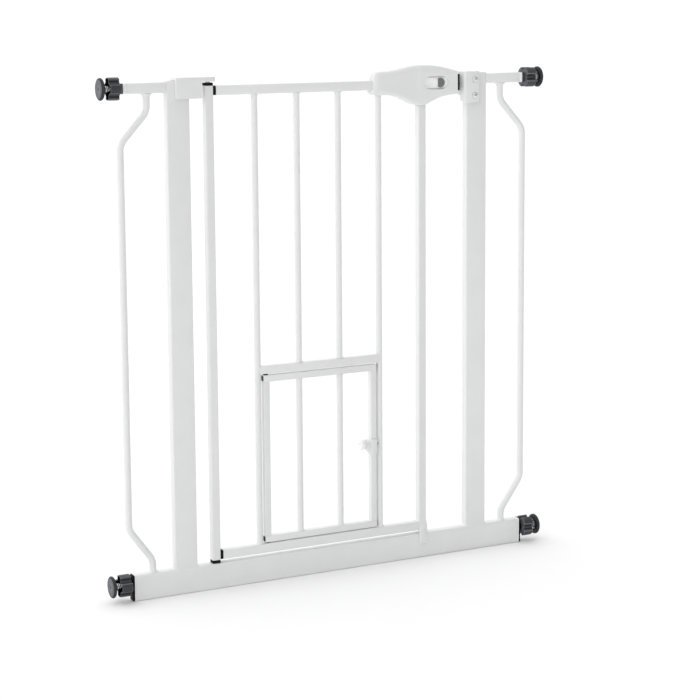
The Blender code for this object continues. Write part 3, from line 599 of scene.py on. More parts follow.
def build_frame():
    """The rail with its end panels, the posts, the stubs, the side bars and their welds."""
    lip = 2.0 * MM
    panel_x = 311.5 * MM
    rail = tube(
        "bottom_rail", (0, 0, RAIL_H / 2), "X", -RAIL_END + lip, RAIL_END - lip, (FRAME_D, RAIL_H),
        2.0 * MM, "frame",
    )
    for sign in (-1, 1):
        groove = []
        for size, depth in ((0.0, -1.0), (0.0, 0.22), (-0.8, 0.22), (-0.8, -1.0)):
            outline = rounded_rect((6.4 + size) * MM, (26.0 + size) * MM, (2.0 + size / 2) * MM)
            groove.append(at(outline, (sign * panel_x, 0, RAIL_H / 2), "Y", -FRAME_D / 2 + depth * MM))
        cut(rail, skin(groove, join=True))
    welds = bmesh.new()
    for side, sign in (("left", -1), ("right", 1)):
        collar(
            f"rail_lip_{side}", (0, 0, RAIL_H / 2), (FRAME_D, RAIL_H), 2.0 * MM,
            sign * (RAIL_END - lip + 0.05 * MM), sign * RAIL_END,
        )
        tube(
            f"post_{side}", (sign * (POST_IN + POST_OUT) / 2, 0, 0), "Z",
            RAIL_H - 2.0 * MM, POST_TOP, (POST_OUT - POST_IN, FRAME_D), 2.0 * MM, "frame", capped=True,
        )
        ends = sorted((sign * (POST_OUT - 0.2 * MM), sign * (STUB_END - 2.0 * MM)))
        tube(f"stub_{side}", (0, 0, STUB_Z), "X", *ends, (FRAME_D, STUB_H), 1.8 * MM, "frame")
        collar(
            f"stub_lip_{side}", (0, 0, STUB_Z), (FRAME_D, STUB_H), 1.8 * MM,
            sign * (STUB_END - 1.95 * MM), sign * (STUB_END + 3.1 * MM),
        )
        side_bar(side, sign)
        out = sign * X_WAY
        for x, z, way, lift, leg in (
            (POST_OUT, RAIL_H, out, Z_WAY, 3.6), (POST_IN, RAIL_H, -out, Z_WAY, 3.2),
            (POST_OUT, STUB_Z - STUB_H / 2, out, -Z_WAY, 2.6),
            (POST_OUT, STUB_Z + STUB_H / 2, out, Z_WAY, 1.6),
        ):
            add_fillet(welds, (sign * x, 0, z), Y_WAY, way, lift, FRAME_D - 1.6 * MM, leg * MM)
    piece("frame_welds", welds, POWDER, "frame")


# ---- pressure mounts


def nut_outline(turned_by, inset=0.0, count=160):
    """Four broad lobes with narrow valleys, moved inwards by an inset."""
    points = []
    for k in range(count):
        angle = 2 * math.pi * k / count
        lobe = 0.5 + 0.5 * math.cos(4 * angle)
        share = min(1.0, max(0.0, (lobe - 0.12) / 0.38))
        blend = share * share * (3 - 2 * share)
        radius = NUT_VALLEY + (NUT_R - NUT_VALLEY) * blend
        way = angle + turned_by
        points.append(Vector((radius * math.cos(way), radius * math.sin(way))))
    if inset:
        moved = []
        for k, point in enumerate(points):
            way = points[(k + 1) % count] - points[k - 1]
            normal = Vector((-way.y, way.x)).normalized()
            moved.append(point + normal * inset)
        points = moved
    return [(p.x, p.y) for p in points]


def nut_turn(sign):
    """The right-hand nuts stand an eighth of a turn round from the left-hand ones."""
    return math.pi / 4 if sign > 0 else 0.0


def hand_nut(name, sign, z):
    """A moulded nut: a lobed cup, open towards the pad, with a threaded floor."""
    inner, outer = NUT_X
    centre = (0, 0, z)
    count = 160
    turned_by = nut_turn(sign)

    def lobed(along, inset):
        return at(nut_outline(turned_by, inset * MM, count), centre, "X", sign * along)

    def round_loop(along, radius):
        return at(circle(radius * MM, count), centre, "X", sign * along)

    floor = outer - NUT_RECESS
    loops = [
        lobed(inner, 1.3), lobed(inner + 0.25 * MM, 0.55), lobed(inner + 0.9 * MM, 0.1),
        lobed(inner + 1.6 * MM, 0.0), lobed(outer - 1.4 * MM, 0.0), lobed(outer - 0.6 * MM, 0.12),
        lobed(outer - 0.15 * MM, 0.35), lobed(outer, 0.65), lobed(outer, 0.95),
        lobed(outer - 0.15 * MM, 1.1), lobed(outer - 0.4 * MM, 1.2), lobed(floor + 0.8 * MM, 1.5),
        lobed(floor, 2.4), round_loop(floor, 5.6), round_loop(floor - 0.3 * MM, 5.1),
        round_loop(floor - 0.8 * MM, 4.85), round_loop(inner + 0.4 * MM, 4.85), round_loop(inner, 5.2),
    ]
    piece(
        f"hand_nut_{name}_moulding", skin(loops, join=True), CHARCOAL, f"nut_{name}", f"hand_nut_{name}",
    )


def nut_recess_painted_shade(name, sign, z):
    """A black sheet inside a nut's recess: painted shade, darkening the recess where it lies in shade."""
    outer = NUT_X[1]
    floor = outer - NUT_RECESS
    turned_by = nut_turn(sign)
    loops = []
    for along, inset in (
        (outer - 0.7 * MM, 1.25), (floor + 1.0 * MM, 1.55), (floor + 0.1 * MM, 2.4), (floor + 0.4 * MM, 2.7),
        (floor + 1.2 * MM, 2.0), (outer - 0.7 * MM, 1.6),
    ):
        loops.append(at(nut_outline(turned_by, inset * MM), (0, 0, z), "X", sign * along))
    bottom = [
        at(circle(radius * MM, 160), (0, 0, z), "X", sign * (floor + lift * MM))
        for radius, lift in ((5.3, 0.1), (5.3, 0.4))
    ]
    piece(
        f"hand_nut_{name}_well", skin(loops[:3] + bottom + loops[3:], join=True), BLACK, f"nut_{name}",
    )


def spindle(name, sign, z):
    """A zinc spindle with a rolled helical thread and a chamfered inner end."""
    count = 36
    start = 300.0 * MM
    end = 356.0 * MM
    rows = 180
    loops = []
    for k in range(rows + 1):
        along = start + (end - start) * k / rows
        lead = min(1.0, (along - start) / (1.6 * MM))
        loop = []
        for n in range(count):
            angle = 2 * math.pi * n / count
            phase = (along / PITCH - sign * n / count) % 1.0
            ridge = 1.0 - abs(2 * phase - 1)
            ridge = min(1.0, max(0.0, (ridge - 0.15) / 0.6))
            ridge = ridge * ridge * (3 - 2 * ridge)
            depth = 0.3 * MM * (1 - ridge) + 0.9 * MM * (1 - lead)
            radius = SPINDLE_R - depth
            loop.append(Vector((sign * along, radius * math.cos(angle), z + radius * math.sin(angle))))
        loops.append(loop)
    piece(f"spindle_{name}_thread", skin(loops), ZINC, f"spindle_{name}", f"spindle_{name}", sharp=60)


def wall_pad(name, sign, z):
    """A round pad on the spindle's end: a washer behind it, a dark rim and a paler rubber face."""
    near, far = (edge / MM for edge in PAD_X)
    body = f"spindle_{name}"
    centre = (0, 0, z)
    washer = [
        (near, 5.2), (near, 7.4), (near + 0.25, 7.8), (near + 0.9, 7.8), (near + 1.2, 7.4), (near + 1.2, 5.2),
    ]
    turned(f"wall_pad_{name}_washer", outward(washer, sign), centre, "X", ZINC, body)
    rim = [
        (near + 1.3, 5.4), (near + 1.3, 11.4), (near + 0.6, 12.0), (near + 0.05, 12.6), (near, 13.0),
        (near, 14.0), (near + 0.25, 14.55), (near + 0.9, 15.3), (near + 1.4, 15.7), (near + 1.9, 15.9),
        (far - 1.9, 15.9), (far - 1.4, 15.7), (far - 0.8, 15.2), (far - 0.3, 14.5), (far - 0.12, 14.1),
        (far - 0.2, 13.7), (far - 0.6, 13.5), (far - 1.5, 13.4),
    ]
    turned(
        f"wall_pad_{name}_rim", outward(rim, sign), centre, "X", SOOT, body, f"wall_pad_{name}", count=96,
    )
    face = [
        (far - 1.4, 12.9), (far - 0.5, 13.1), (far - 0.12, 13.0), (far, 12.6), (far, 10.2), (far - 0.3, 9.9),
        (far - 0.3, 9.4), (far, 9.1), (far, 2.8), (far - 0.35, 2.3), (far - 1.0, 1.8), (far - 1.1, 0.3),
    ]
    turned(f"wall_pad_{name}_face", outward(face, sign), centre, "X", RUBBER, body, count=96)


def end_plug(name, sign, level, z):
    """The dark plug in a tube's end that the spindle slides through."""
    # The upper plates take the darker nylon as painted shade, for the shaded gap between the pale lip and the
    # nut.
    made = SOOT if level == "upper" else BLACK
    hole = SPINDLE_R + 0.3 * MM
    room = 0.6 * MM
    if level == "upper":
        tube_end, height, trim = (STUB_END, STUB_H, 0.4 * MM)
        start = STUB_END + 3.2 * MM
        plate_z = z
        end = NUT_X[0] - 0.3 * MM
    else:
        tube_end, height, trim = (RAIL_END, RAIL_H, 0.6 * MM)
        start = RAIL_END + 0.3 * MM
        plate_z = RAIL_H / 2 + 0.1 * MM
        end = start + 2.6 * MM
    plate = (FRAME_D - 0.4 * MM, height - trim)
    centre = (0, 0, plate_z)
    neck = rounded_rect(FRAME_D - 2 * WALL - room, height - 2 * WALL - room, 0.8 * MM)
    loops = [at(neck, centre, "X", sign * along) for along in (tube_end - 15.7 * MM, start)]
    stations = ((start, 0.5), (start + 0.5 * MM, 0.0), (end - 0.6 * MM, 0.0), (end, 0.6))
    loops += blocks(plate, 1.4 * MM, centre, "X", [(sign * along, inset) for along, inset in stations])
    obj = piece(f"end_plug_{name}_plate", skin(loops), made, "frame", f"end_plug_{name}")
    spine = (0, 0, z)
    if level == "lower":
        nut = NUT_X[0]
        boss = [(end - 1 * MM, 6.6), (end + 0.3 * MM, 6.6), (nut - 0.8 * MM, 6.4), (nut - 0.3 * MM, 6.0)]
        loops = [at(circle(r * MM, 48), spine, "X", sign * along) for along, r in boss]
        cut(obj, skin(loops), "UNION")
    else:
        for offset in (1.0, 2.6):
            groove = start + offset * MM
            ring_out = rounded_rect(plate[0] + 1 * MM, plate[1] + 1 * MM, 1.6 * MM)
            ring_in = rounded_rect(plate[0] - 0.9 * MM, plate[1] - 0.9 * MM, 1.2 * MM)
            low, high = (sign * groove, sign * (groove + 0.5 * MM))
            loops = [
                at(ring_out, centre, "X", low), at(ring_out, centre, "X", high),
                at(ring_in, centre, "X", high), at(ring_in, centre, "X", low),
            ]
            cut(obj, skin(loops, join=True))
    cut(obj, prism(circle(hole, 40), spine, "X", sign * 300 * MM, sign * 340 * MM))


def build_mounts():
    for side, sign in (("left", -1), ("right", 1)):
        for level, z in MOUNT_Z.items():
            name = f"{level}_{side}"
            end_plug(name, sign, level, z)
            hand_nut(name, sign, z)
            nut_recess_painted_shade(name, sign, z)
            spindle(name, sign, z)
            wall_pad(name, sign, z)


# ---- hinge


def build_hinge():
    """The saddle over the left post and the bushes at the ends of the hinge upright."""
    (left, right), (low, high) = (SADDLE_X, SADDLE_Z)
    profile = [
        (left, low), (right, low), (right, FLANGE_Z), (FLANGE_END, FLANGE_Z),
        (FLANGE_END, high), (left, high),
    ]
    block = prism(profile, (0, 0, 0), "Y", -SADDLE_HALF, SADDLE_HALF)
    saddle = piece("hinge_saddle_cap", block, WHITE, "frame", "hinge_saddle")
    bevelled(saddle, 1.1 * MM)
    clearance = 0.3 * MM
    cut(saddle, box(
        (-POST_OUT - 5 * MM, -FRAME_D / 2 - clearance, low - 5 * MM),
        (-POST_IN + clearance, FRAME_D / 2 + clearance, POST_TOP + clearance),
    ))
    axis = (HINGE_X, LEAF_Y, 0)
    cut(saddle, prism(circle(PIN_HOLE_R, 32), axis, "Z", FLANGE_Z - 2 * MM, FLANGE_Z + 4.5 * MM))
    for level, (start, end) in (
        ("upper", (LEAF_HIGH + 0.2 * MM, LEAF_HIGH + 4.3 * MM)),
        ("lower", (RAIL_H + 0.4 * MM, LEAF_LOW - 0.2 * MM)),
    ):
        stations = ((start, 0.3), (start + 0.3 * MM, 0.0), (end - 0.5 * MM, 0.0), (end, 0.5))
        loops = blocks((UPRIGHT, UPRIGHT), 1.5 * MM, axis, "Z", stations)
        bush = piece(f"hinge_bush_{level}_cap", skin(loops), BLACK, "leaf", f"hinge_bush_{level}")
        cut(bush, prism(circle(PIN_HOLE_R, 32), axis, "Z", start - 5 * MM, end + 5 * MM))


# ---- leaf


def build_leaf():
    """The barred leaf: uprights, rails, spacers, bars, cross rail and welds."""
    size = (UPRIGHT, UPRIGHT)
    tube("hinge_upright", (HINGE_X, LEAF_Y, 0), "Z", LEAF_LOW, LEAF_HIGH, size, 1.5 * MM, "leaf")
    latch = tube(
        "latch_upright", (LATCH_X, LEAF_Y, 0), "Z", LEAF_LOW - 1 * MM, LEAF_HIGH, size, 1.5 * MM, "leaf",
    )
    front = LEAF_Y - UPRIGHT / 2
    stop = [
        (front + 0.4 * MM, 60.0 * MM), (front + 0.4 * MM, 22.6 * MM), (front - 0.1 * MM, 22.0 * MM),
        (front - 2.4 * MM, 22.0 * MM), (front - 3.2 * MM, 22.8 * MM), (front - 3.2 * MM, 50.0 * MM),
        (front - 2.7 * MM, 53.0 * MM), (front - 1.4 * MM, 56.0 * MM), (front + 0.1 * MM, 58.5 * MM),
    ]
    loops = []
    half = UPRIGHT / 2
    for x, inset in ((-half, 0.5), (-half + 0.5 * MM, 0.0), (half - 0.5 * MM, 0.0), (half, 0.5)):
        loop = []
        for y, z in stop:
            pull = inset * MM
            z = max(z, 22.0 * MM + (pull if z < 40 * MM else 0.0))
            y = max(y, front - 3.2 * MM + pull)
            loop.append(Vector((LATCH_X + x, y, z)))
        loops.append(loop)
    cut(latch, skin(loops), "UNION", sharp=32)

    rail = (LEAF_RAIL_D, LEAF_RAIL_H)
    rail_start = -186.5 * MM
    rail_end = LATCH_X - UPRIGHT / 2 + 0.2 * MM
    rail_z = {"upper": LEAF_HIGH - LEAF_RAIL_H / 2, "lower": LEAF_LOW + LEAF_RAIL_H / 2}
    for level, z in rail_z.items():
        tube(f"leaf_rail_{level}", (0, LEAF_Y, z), "X", rail_start, rail_end, rail, 1.8 * MM, "leaf")
        lean = 0.15 * MM
        stations = (
            (HINGE_X + UPRIGHT / 2 + lean, 0.8), (HINGE_X + UPRIGHT / 2 + 0.6 * MM, 0.3),
            (rail_start - 0.6 * MM, 0.3), (rail_start - lean, 0.8),
        )
        spacer = blocks(rail, 1.4 * MM, (0, LEAF_Y, z), "X", stations)
        piece(f"rail_spacer_{level}_block", skin(spacer), BLACK, "leaf", f"rail_spacer_{level}")

    top = LEAF_HIGH - LEAF_RAIL_H
    bottom = LEAF_LOW + LEAF_RAIL_H
    for number, x in enumerate(BAR_X, start=1):
        low = bottom if number in (1, 4) else CROSS_Z[1]
        bar(f"leaf_bar_{number}", x, low, top, "leaf", (2.6 * MM, 0.8 * MM), 3.4 * MM)
    tube(
        "cross_rail", (0, LEAF_Y, sum(CROSS_Z) / 2), "X", BAR_X[0], BAR_X[3],
        (9.2 * MM, CROSS_Z[1] - CROSS_Z[0]), 1.6 * MM, "leaf",
    )
    welds = bmesh.new()
    for x, way in ((BAR_X[0] + BAR_R - 0.3 * MM, X_WAY), (BAR_X[3] - BAR_R + 0.3 * MM, -X_WAY)):
        for z, lift in ((CROSS_Z[1], Z_WAY), (CROSS_Z[0], -Z_WAY)):
            add_fillet(welds, (x, LEAF_Y, z), Y_WAY, way, lift, 6.5 * MM, 2.0 * MM)
    edge = LATCH_X - UPRIGHT / 2
    add_fillet(welds, (edge, LEAF_Y, bottom), Y_WAY, -X_WAY, Z_WAY, 9.5 * MM, 2.2 * MM)
    piece("leaf_welds", welds, POWDER, "leaf")
    for level, (low, high) in (("upper", (PET_Z[1], CROSS_Z[0])), ("lower", (bottom, PET_Z[0]))):
        ring = [
            (low + 0.15 * MM, 3.4 * MM), (low + 0.3 * MM, 3.7 * MM),
            (high - 0.3 * MM, 3.7 * MM), (high - 0.15 * MM, 3.4 * MM),
        ]
        turned(
            f"pet_washer_{level}", ring, (PET_X[0] + PET_TUBE / 2, LEAF_Y, 0), "Z", BLACK, "leaf", count=40,
        )


# ---- pet door


def build_pet_door():
    """The square-tube frame of the small door, its plugs, bars and welds."""
    half = PET_TUBE / 2
    square = (PET_TUBE, PET_TUBE)
    for level, z in (("upper", PET_Z[1] - half), ("lower", PET_Z[0] + half)):
        tube(
            f"pet_rail_{level}", (0, LEAF_Y, z), "X", *PET_X, square, 1.2 * MM, "pet_door", wall=1.0 * MM,
        )
        for side, x, sign in (("left", PET_X[0], -1), ("right", PET_X[1], 1)):
            stations = [
                (sign * along * MM, inset)
                for along, inset in ((-2.0, 1.3), (0.15, 1.3), (0.35, 1.45), (0.48, 1.8))
            ]
            loops = blocks(square, 1.2 * MM, (x, LEAF_Y, z), "X", stations)
            piece(f"pet_plug_{level}_{side}", skin(loops), SOOT, "pet_door")
    low = PET_Z[0] + PET_TUBE
    high = PET_Z[1] - PET_TUBE
    welds = bmesh.new()
    for side, x, way in (("left", PET_X[0] + half, 1), ("right", PET_X[1] - half, -1)):
        tube(
            f"pet_upright_{side}", (x, LEAF_Y, 0), "Z", low - 0.1 * MM, high + 0.1 * MM,
            (PET_TUBE - 0.2 * MM, PET_TUBE - 0.2 * MM), 1.2 * MM, "pet_door", wall=1.0 * MM,
        )
        for z, lift in ((low, Z_WAY), (high, -Z_WAY)):
            corner = (x + way * (half - 0.1 * MM), LEAF_Y, z)
            add_fillet(welds, corner, Y_WAY, way * X_WAY, lift, 7.5 * MM, 2.2 * MM)
    piece("pet_door_welds", welds, POWDER, "pet_door")
    for side, x in (("left", BAR_X[1]), ("right", BAR_X[2])):
        bar(f"pet_bar_{side}", x, low, high, "pet_door", (1.9 * MM, 0.15 * MM), 2.6 * MM)
    build_pet_latch()


def build_pet_latch():
    """The boss on the pet door's right upright, and the pull knob."""
    inner = PET_X[1] - PET_TUBE - 0.1 * MM
    front = LEAF_Y - PET_TUBE / 2 - 0.2 * MM
    centre = (0, LEAF_Y, PULL_Z)
    count = 64
    half_depth = LEAF_Y - (front - 2.4 * MM)
    nose = circle(7.6 * MM, count)
    foot = []
    for a, b in circle(1.0, count):
        reach = (8.4 if b > 0 else 17.0) * MM
        squared = 1.0 / max(abs(a), abs(b)) ** 0.55
        foot.append((a * half_depth * min(squared, 1.25) * 0.86, b * reach * min(squared, 1.2) * 0.9))

    def between(share, along, scale=1.0):
        loop = [
            (scale * (p + (a - p) * share), scale * (q + (b - q) * share))
            for (p, q), (a, b) in zip(nose, foot)
        ]
        return at(loop, centre, "X", along * MM)

    loops = [
        between(0.0, 52.8, 0.90), between(0.0, 53.1, 0.97), between(0.02, 53.6), between(0.14, 54.6),
        between(0.45, 56.0), between(0.74, 57.6), between(0.92, 59.0), between(1.0, 60.1),
        at(foot, centre, "X", inner),
    ]
    housing = piece("pet_latch_boss", skin(loops), WHITE, "pet_door", "pet_latch_housing", sharp=50)
    plate = (2.6 * MM, 23.5 * MM)
    plate_centre = (0, front - 1.3 * MM, PULL_Z - 3.6 * MM)
    outer = PET_X[1]
    stations = (
        (inner - 1.5 * MM, 0.4), (inner - 1.1 * MM, 0.0), (outer - 0.8 * MM, 0.0), (outer - 0.2 * MM, 0.5),
    )
    cut(housing, skin(blocks(plate, 0.8 * MM, plate_centre, "X", stations)), "UNION", sharp=50)
    knob = [
        (44.6, 0.0), (44.5, 1.0), (44.0, 2.2), (43.5, 3.4), (43.3, 4.6), (43.4, 5.8), (43.8, 7.0),
        (44.5, 7.9), (45.4, 8.4), (46.6, 8.5), (48.0, 8.45), (49.2, 8.1), (50.6, 7.4), (51.6, 6.9),
        (52.3, 6.6),
    ]
    turned("pet_latch_pull", outward(knob, 1), centre, "X", BRIGHT, "pet_latch", "pet_latch_knob")
    # A dark ring in the gap where the latch pin crosses to the leaf; its dark colour is painted shade for
    # that shaded gap.
    grommet = [(71.9, 1.95), (71.9, 2.7), (72.2, 3.0), (74.4, 3.0), (74.4, 1.95)]
    turned("pet_latch_grommet", outward(grommet, 1), centre, "X", SOOT, "leaf", count=40)


# ---- handle


def smooth_closed(corners, steps):
    """A closed Catmull-Rom curve through the corners."""
    count = len(corners)
    points = []
    for k in range(count):
        a, b, c, d = (np.array(corners[(k + n) % count], float) for n in (-1, 0, 1, 2))
        for n in range(steps):
            t = n / steps
            points.append(0.5 * (
                2 * b + (c - a) * t + (2 * a - 5 * b + 4 * c - d) * t * t + (3 * b - a - 3 * c + d) * t ** 3
            ))
    return np.array(points)


def inset_loop(points, amount):
    """Move an anticlockwise outline inwards along its corner normals."""
    way = np.roll(points, -1, 0) - np.roll(points, 1, 0)
    normal = np.stack([-way[:, 1], way[:, 0]], 1)
    normal /= np.linalg.norm(normal, axis=1)[:, None]
    return points + normal * amount


def resample(points, shares):
    """Points at those shares of a polyline's length."""
    steps = np.linalg.norm(np.diff(points, axis=0), axis=1)
    total = np.concatenate([[0.0], np.cumsum(steps)])
    total /= total[-1]
    return np.stack([np.interp(shares, total, points[:, k]) for k in (0, 1)], 1)


def distance_to(points, outline):
    """Each point's distance to a closed outline."""
    start = outline
    way = np.roll(outline, -1, 0) - outline
    best = np.full(len(points), 1e9)
    length = (way ** 2).sum(1)
    for k in range(len(outline)):
        gap = points - start[k]
        t = np.clip((gap @ way[k]) / length[k], 0, 1)
        best = np.minimum(best, np.linalg.norm(gap - t[:, None] * way[k], axis=1))
    return best


def patch(outline, columns, rows):
    """A grid of points that fills a four-sided outline, closer together at its edges."""
    picks = [int(np.argmin(((outline - np.array(m) * MM) ** 2).sum(1))) for m in HANDLE_CORNERS]

    def side(first, last):
        count = (last - first) % len(outline)
        return outline[[(first + k) % len(outline) for k in range(count + 1)]]

    u = 0.5 - 0.5 * np.cos(np.pi * np.arange(columns + 1) / columns)
    v = 0.5 - 0.5 * np.cos(np.pi * np.arange(rows + 1) / rows)
    low = resample(side(picks[0], picks[1]), u)
    right = resample(side(picks[1], picks[2]), v)
    high = resample(side(picks[2], picks[3])[::-1], u)
    left = resample(side(picks[3], picks[0])[::-1], v)
    grid = np.zeros((columns + 1, rows + 1, 2))
    for i, s in enumerate(u):
        for j, t in enumerate(v):
            grid[i, j] = (
                (1 - t) * low[i] + t * high[i] + (1 - s) * left[j] + s * right[j]
                - (1 - s) * (1 - t) * low[0] - s * (1 - t) * low[-1]
                - (1 - s) * t * high[0] - s * t * high[-1]
            )
    return grid


def step_up(x, low, high):
    t = np.clip((x - low) / (high - low), 0, 1)
    return t * t * (3 - 2 * t)


def face_depth(points, outline, front):
    """How far behind the handle's foremost plane each point of a half shell lies."""
    gap = distance_to(points, outline)
    x, z = points[:, 0], points[:, 1]
    upper = step_up(z, 728 * MM, 746 * MM)
    left_end = (1 - step_up(x, 68 * MM, 92 * MM)) * (1.0 if front else -0.6)
    right_end = step_up(x, 194 * MM, 207 * MM)
    reach = (5.0 + 4.5 * upper * (1 - left_end) * (1 - right_end) + 7.0 * left_end - 3.4 * right_end) * MM
    drop = (4.6 + 0.9 * left_end - 3.4 * right_end) * MM
    share = np.clip(gap / reach, 0, 1)
    depth = drop * (1 - np.sqrt(np.clip(1 - (1 - share) ** 2, 0, 1)))
    if front:
        grip = 1 - step_up(x, 137 * MM, 147 * MM)
        high_side = 0.35 + 0.65 * step_up(z, 716 * MM, 742 * MM)
        depth += 1.0 * MM * grip * high_side
        depth += 0.5 * MM * step_up(x, 188 * MM, 208 * MM)
    else:
        depth += 0.5 * MM * (1 - step_up(x, 120 * MM, 150 * MM))
    return depth


def handle_shell(name, node, parting, face, front):
    """Half of the handle: a hollow moulding with a crowned face."""
    corners = [(x * MM, z * MM) for x, z in HANDLE_OUTLINE]
    outline = smooth_closed(corners, 6)
    outline[:, 1] = np.minimum(outline[:, 1], HANDLE_CREST)
    out = math.copysign(1.0, face - parting)
    columns, rows = 128, 40
    bm = bmesh.new()

    def sheet_of(loop, depth_at, flip):
        grid = patch(loop, columns, rows)
        flat = grid.reshape(-1, 2)
        depth = depth_at(flat).reshape(columns + 1, rows + 1)
        verts = [
            [bm.verts.new((grid[i, j, 0], face - out * depth[i, j], grid[i, j, 1])) for j in range(rows + 1)]
            for i in range(columns + 1)
        ]
        for i in range(columns):
            for j in range(rows):
                quad = [verts[i][j], verts[i + 1][j], verts[i + 1][j + 1], verts[i][j + 1]]
                bm.faces.new(quad[::-1] if flip else quad)
        rim = [verts[i][0] for i in range(columns)] + [verts[columns][j] for j in range(rows)]
        rim += [verts[i][rows] for i in range(columns, 0, -1)] + [verts[0][j] for j in range(rows, 0, -1)]
        return rim

    inner_loop = inset_loop(outline, SHELL_WALL)

    def inner_depth(points):
        share = np.clip(distance_to(points, inner_loop) / (2.0 * MM), 0, 1)
        round_off = 1.6 * MM * (1 - np.sqrt(np.clip(1 - (1 - share) ** 2, 0, 1)))
        grip = 1.6 * MM * (1 - step_up(points[:, 0], 128 * MM, 136.5 * MM))
        return SHELL_WALL + 0.1 * MM + round_off + (grip if front else 0.0)

    outer_rim = sheet_of(outline, lambda p: face_depth(p, outline, front), False)
    inner_rim = sheet_of(inner_loop, inner_depth, True)
    lip = 0.5 * MM

    def level(rim, y, toward=None):
        made = []
        for k, vert in enumerate(rim):
            co = vert.co.copy()
            co.y = y
            if toward is not None:
                co = co.lerp(Vector((toward[k].co.x, y, toward[k].co.z)), 0.12)
            made.append(bm.verts.new(co))
        return made

    wall = level(outer_rim, parting + out * lip)
    seam = level(outer_rim, parting, inner_rim)
    inner_seam = level(inner_rim, parting)
    for first, second in ((outer_rim, wall), (wall, seam), (seam, inner_seam), (inner_seam, inner_rim)):
        bridge(bm, first, second)
    shell = piece(name, bm, WHITE, "leaf", node, sharp=38)

    rail_z = LEAF_HIGH - LEAF_RAIL_H / 2
    room = 0.4 * MM
    snug = 0.1 * MM
    cut(shell, prism(
        rounded_rect(LEAF_RAIL_D + 2 * snug, LEAF_RAIL_H + 2 * snug, 1.6 * MM),
        (0, LEAF_Y, rail_z), "X", 60 * MM, 72 * MM,
    ), sharp=38)
    cut(shell, prism(circle(BAR_R + room, 40), (BAR_X[3], LEAF_Y, 0), "Z", 718 * MM, 729 * MM), sharp=38)
    side = UPRIGHT + 2 * room
    cut(shell, prism(
        rounded_rect(side, side, 1.5 * MM), (LATCH_X, LEAF_Y, 0), "Z", 700 * MM, 716 * MM,
    ), sharp=38)
    if not front:
        cut(shell, box(
            (200 * MM, BOLT_Y - BOLT_T / 2 - room, BOLT_Z[0] - room),
            (214 * MM, BOLT_Y + BOLT_T / 2 + room, BOLT_Z[1] + room),
        ), sharp=38)
    return shell


def flat_oval(half, rise, count=96, squareness=2.8):
    """A superellipse: flatter above and below than an ellipse, with full round ends."""
    points = []
    for k in range(count):
        angle = 2 * math.pi * k / count
        across, up = math.cos(angle), math.sin(angle)
        across = math.copysign(abs(across) ** (2 / squareness), across)
        up = math.copysign(abs(up) ** (2 / squareness), up)
        points.append((half * across, rise * up))
    return points


def build_handle():
    """Both shells, the window in the front one and the screws in the back one."""
    front = handle_shell("handle_front_shell", "handle_front", LEAF_Y - 0.15 * MM, SHELL_FRONT, True)
    back = handle_shell("handle_back_shell", "handle_back", LEAF_Y + 0.15 * MM, SHELL_BACK, False)
    centre = (WINDOW[0], 0, WINDOW[1])
    flared = [
        (SHELL_FRONT - 2.0 * MM, 2.0), (SHELL_FRONT + 0.02 * MM, 0.45), (SHELL_FRONT + 0.25 * MM, 0.15),
        (SHELL_FRONT + 0.6 * MM, 0.0), (SHELL_FRONT + 4.5 * MM, 0.0),
    ]
    loops = [
        at(flat_oval(WINDOW_HALF + grow * MM, WINDOW_RISE + grow * MM), centre, "Y", along)
        for along, grow in flared
    ]
    cut(front, skin(loops), sharp=38)

    for number, (x, z) in enumerate(((84, 739.5), (128, 724.5), (178, 728.5)), start=1):
        spot = (x * MM, 0, z * MM)
        well = [(SHELL_BACK + 1 * MM, 3.6), (SHELL_BACK - 1.3 * MM, 3.4)]
        loops = [at(circle(r * MM, 40), spot, "Y", along) for along, r in well]
        cut(back, skin(loops), sharp=38)
        screw(f"handle_screw_{number}", spot, SHELL_BACK - 1.45 * MM, 1, 2.9 * MM, 1.1 * MM, "leaf")
    build_slider()


def screw(name, centre, seat, sign, radius, height, body, node=None):
    """A domed head with a cross recess. seat is where its underside lies along Y."""
    profile = [(seat, radius * 0.98)]
    for k in range(9):
        angle = math.pi / 2 * k / 8
        profile.append((
            seat + sign * (0.18 * height + 0.82 * height * math.sin(angle)),
            radius * (0.06 + 0.94 * math.cos(angle) ** 0.8) if k < 8 else 0.03 * MM,
        ))
    if node:
        profile = [(-4.0 * MM, 1.2 * MM), (-4.4 * MM, 2.0 * MM), (seat, 2.0 * MM)] + profile
    head = turned(name, profile, centre, "Y", PLATED, body, node, count=48)
    top = seat + sign * height
    arm = radius * 0.42
    slot = radius * 0.10
    for wide, tall in ((arm, slot), (slot, arm)):
        loops = []
        for along, scale in ((top + sign * 0.5 * MM, 1.0), (top - sign * height * 0.55, 0.55)):
            corners = [(-wide * scale, -tall * scale), (wide * scale, -tall * scale),
                       (wide * scale, tall * scale), (-wide * scale, tall * scale)]
            loops.append(at(corners, centre, "Y", along))
        cut(head, skin(loops))
    return head


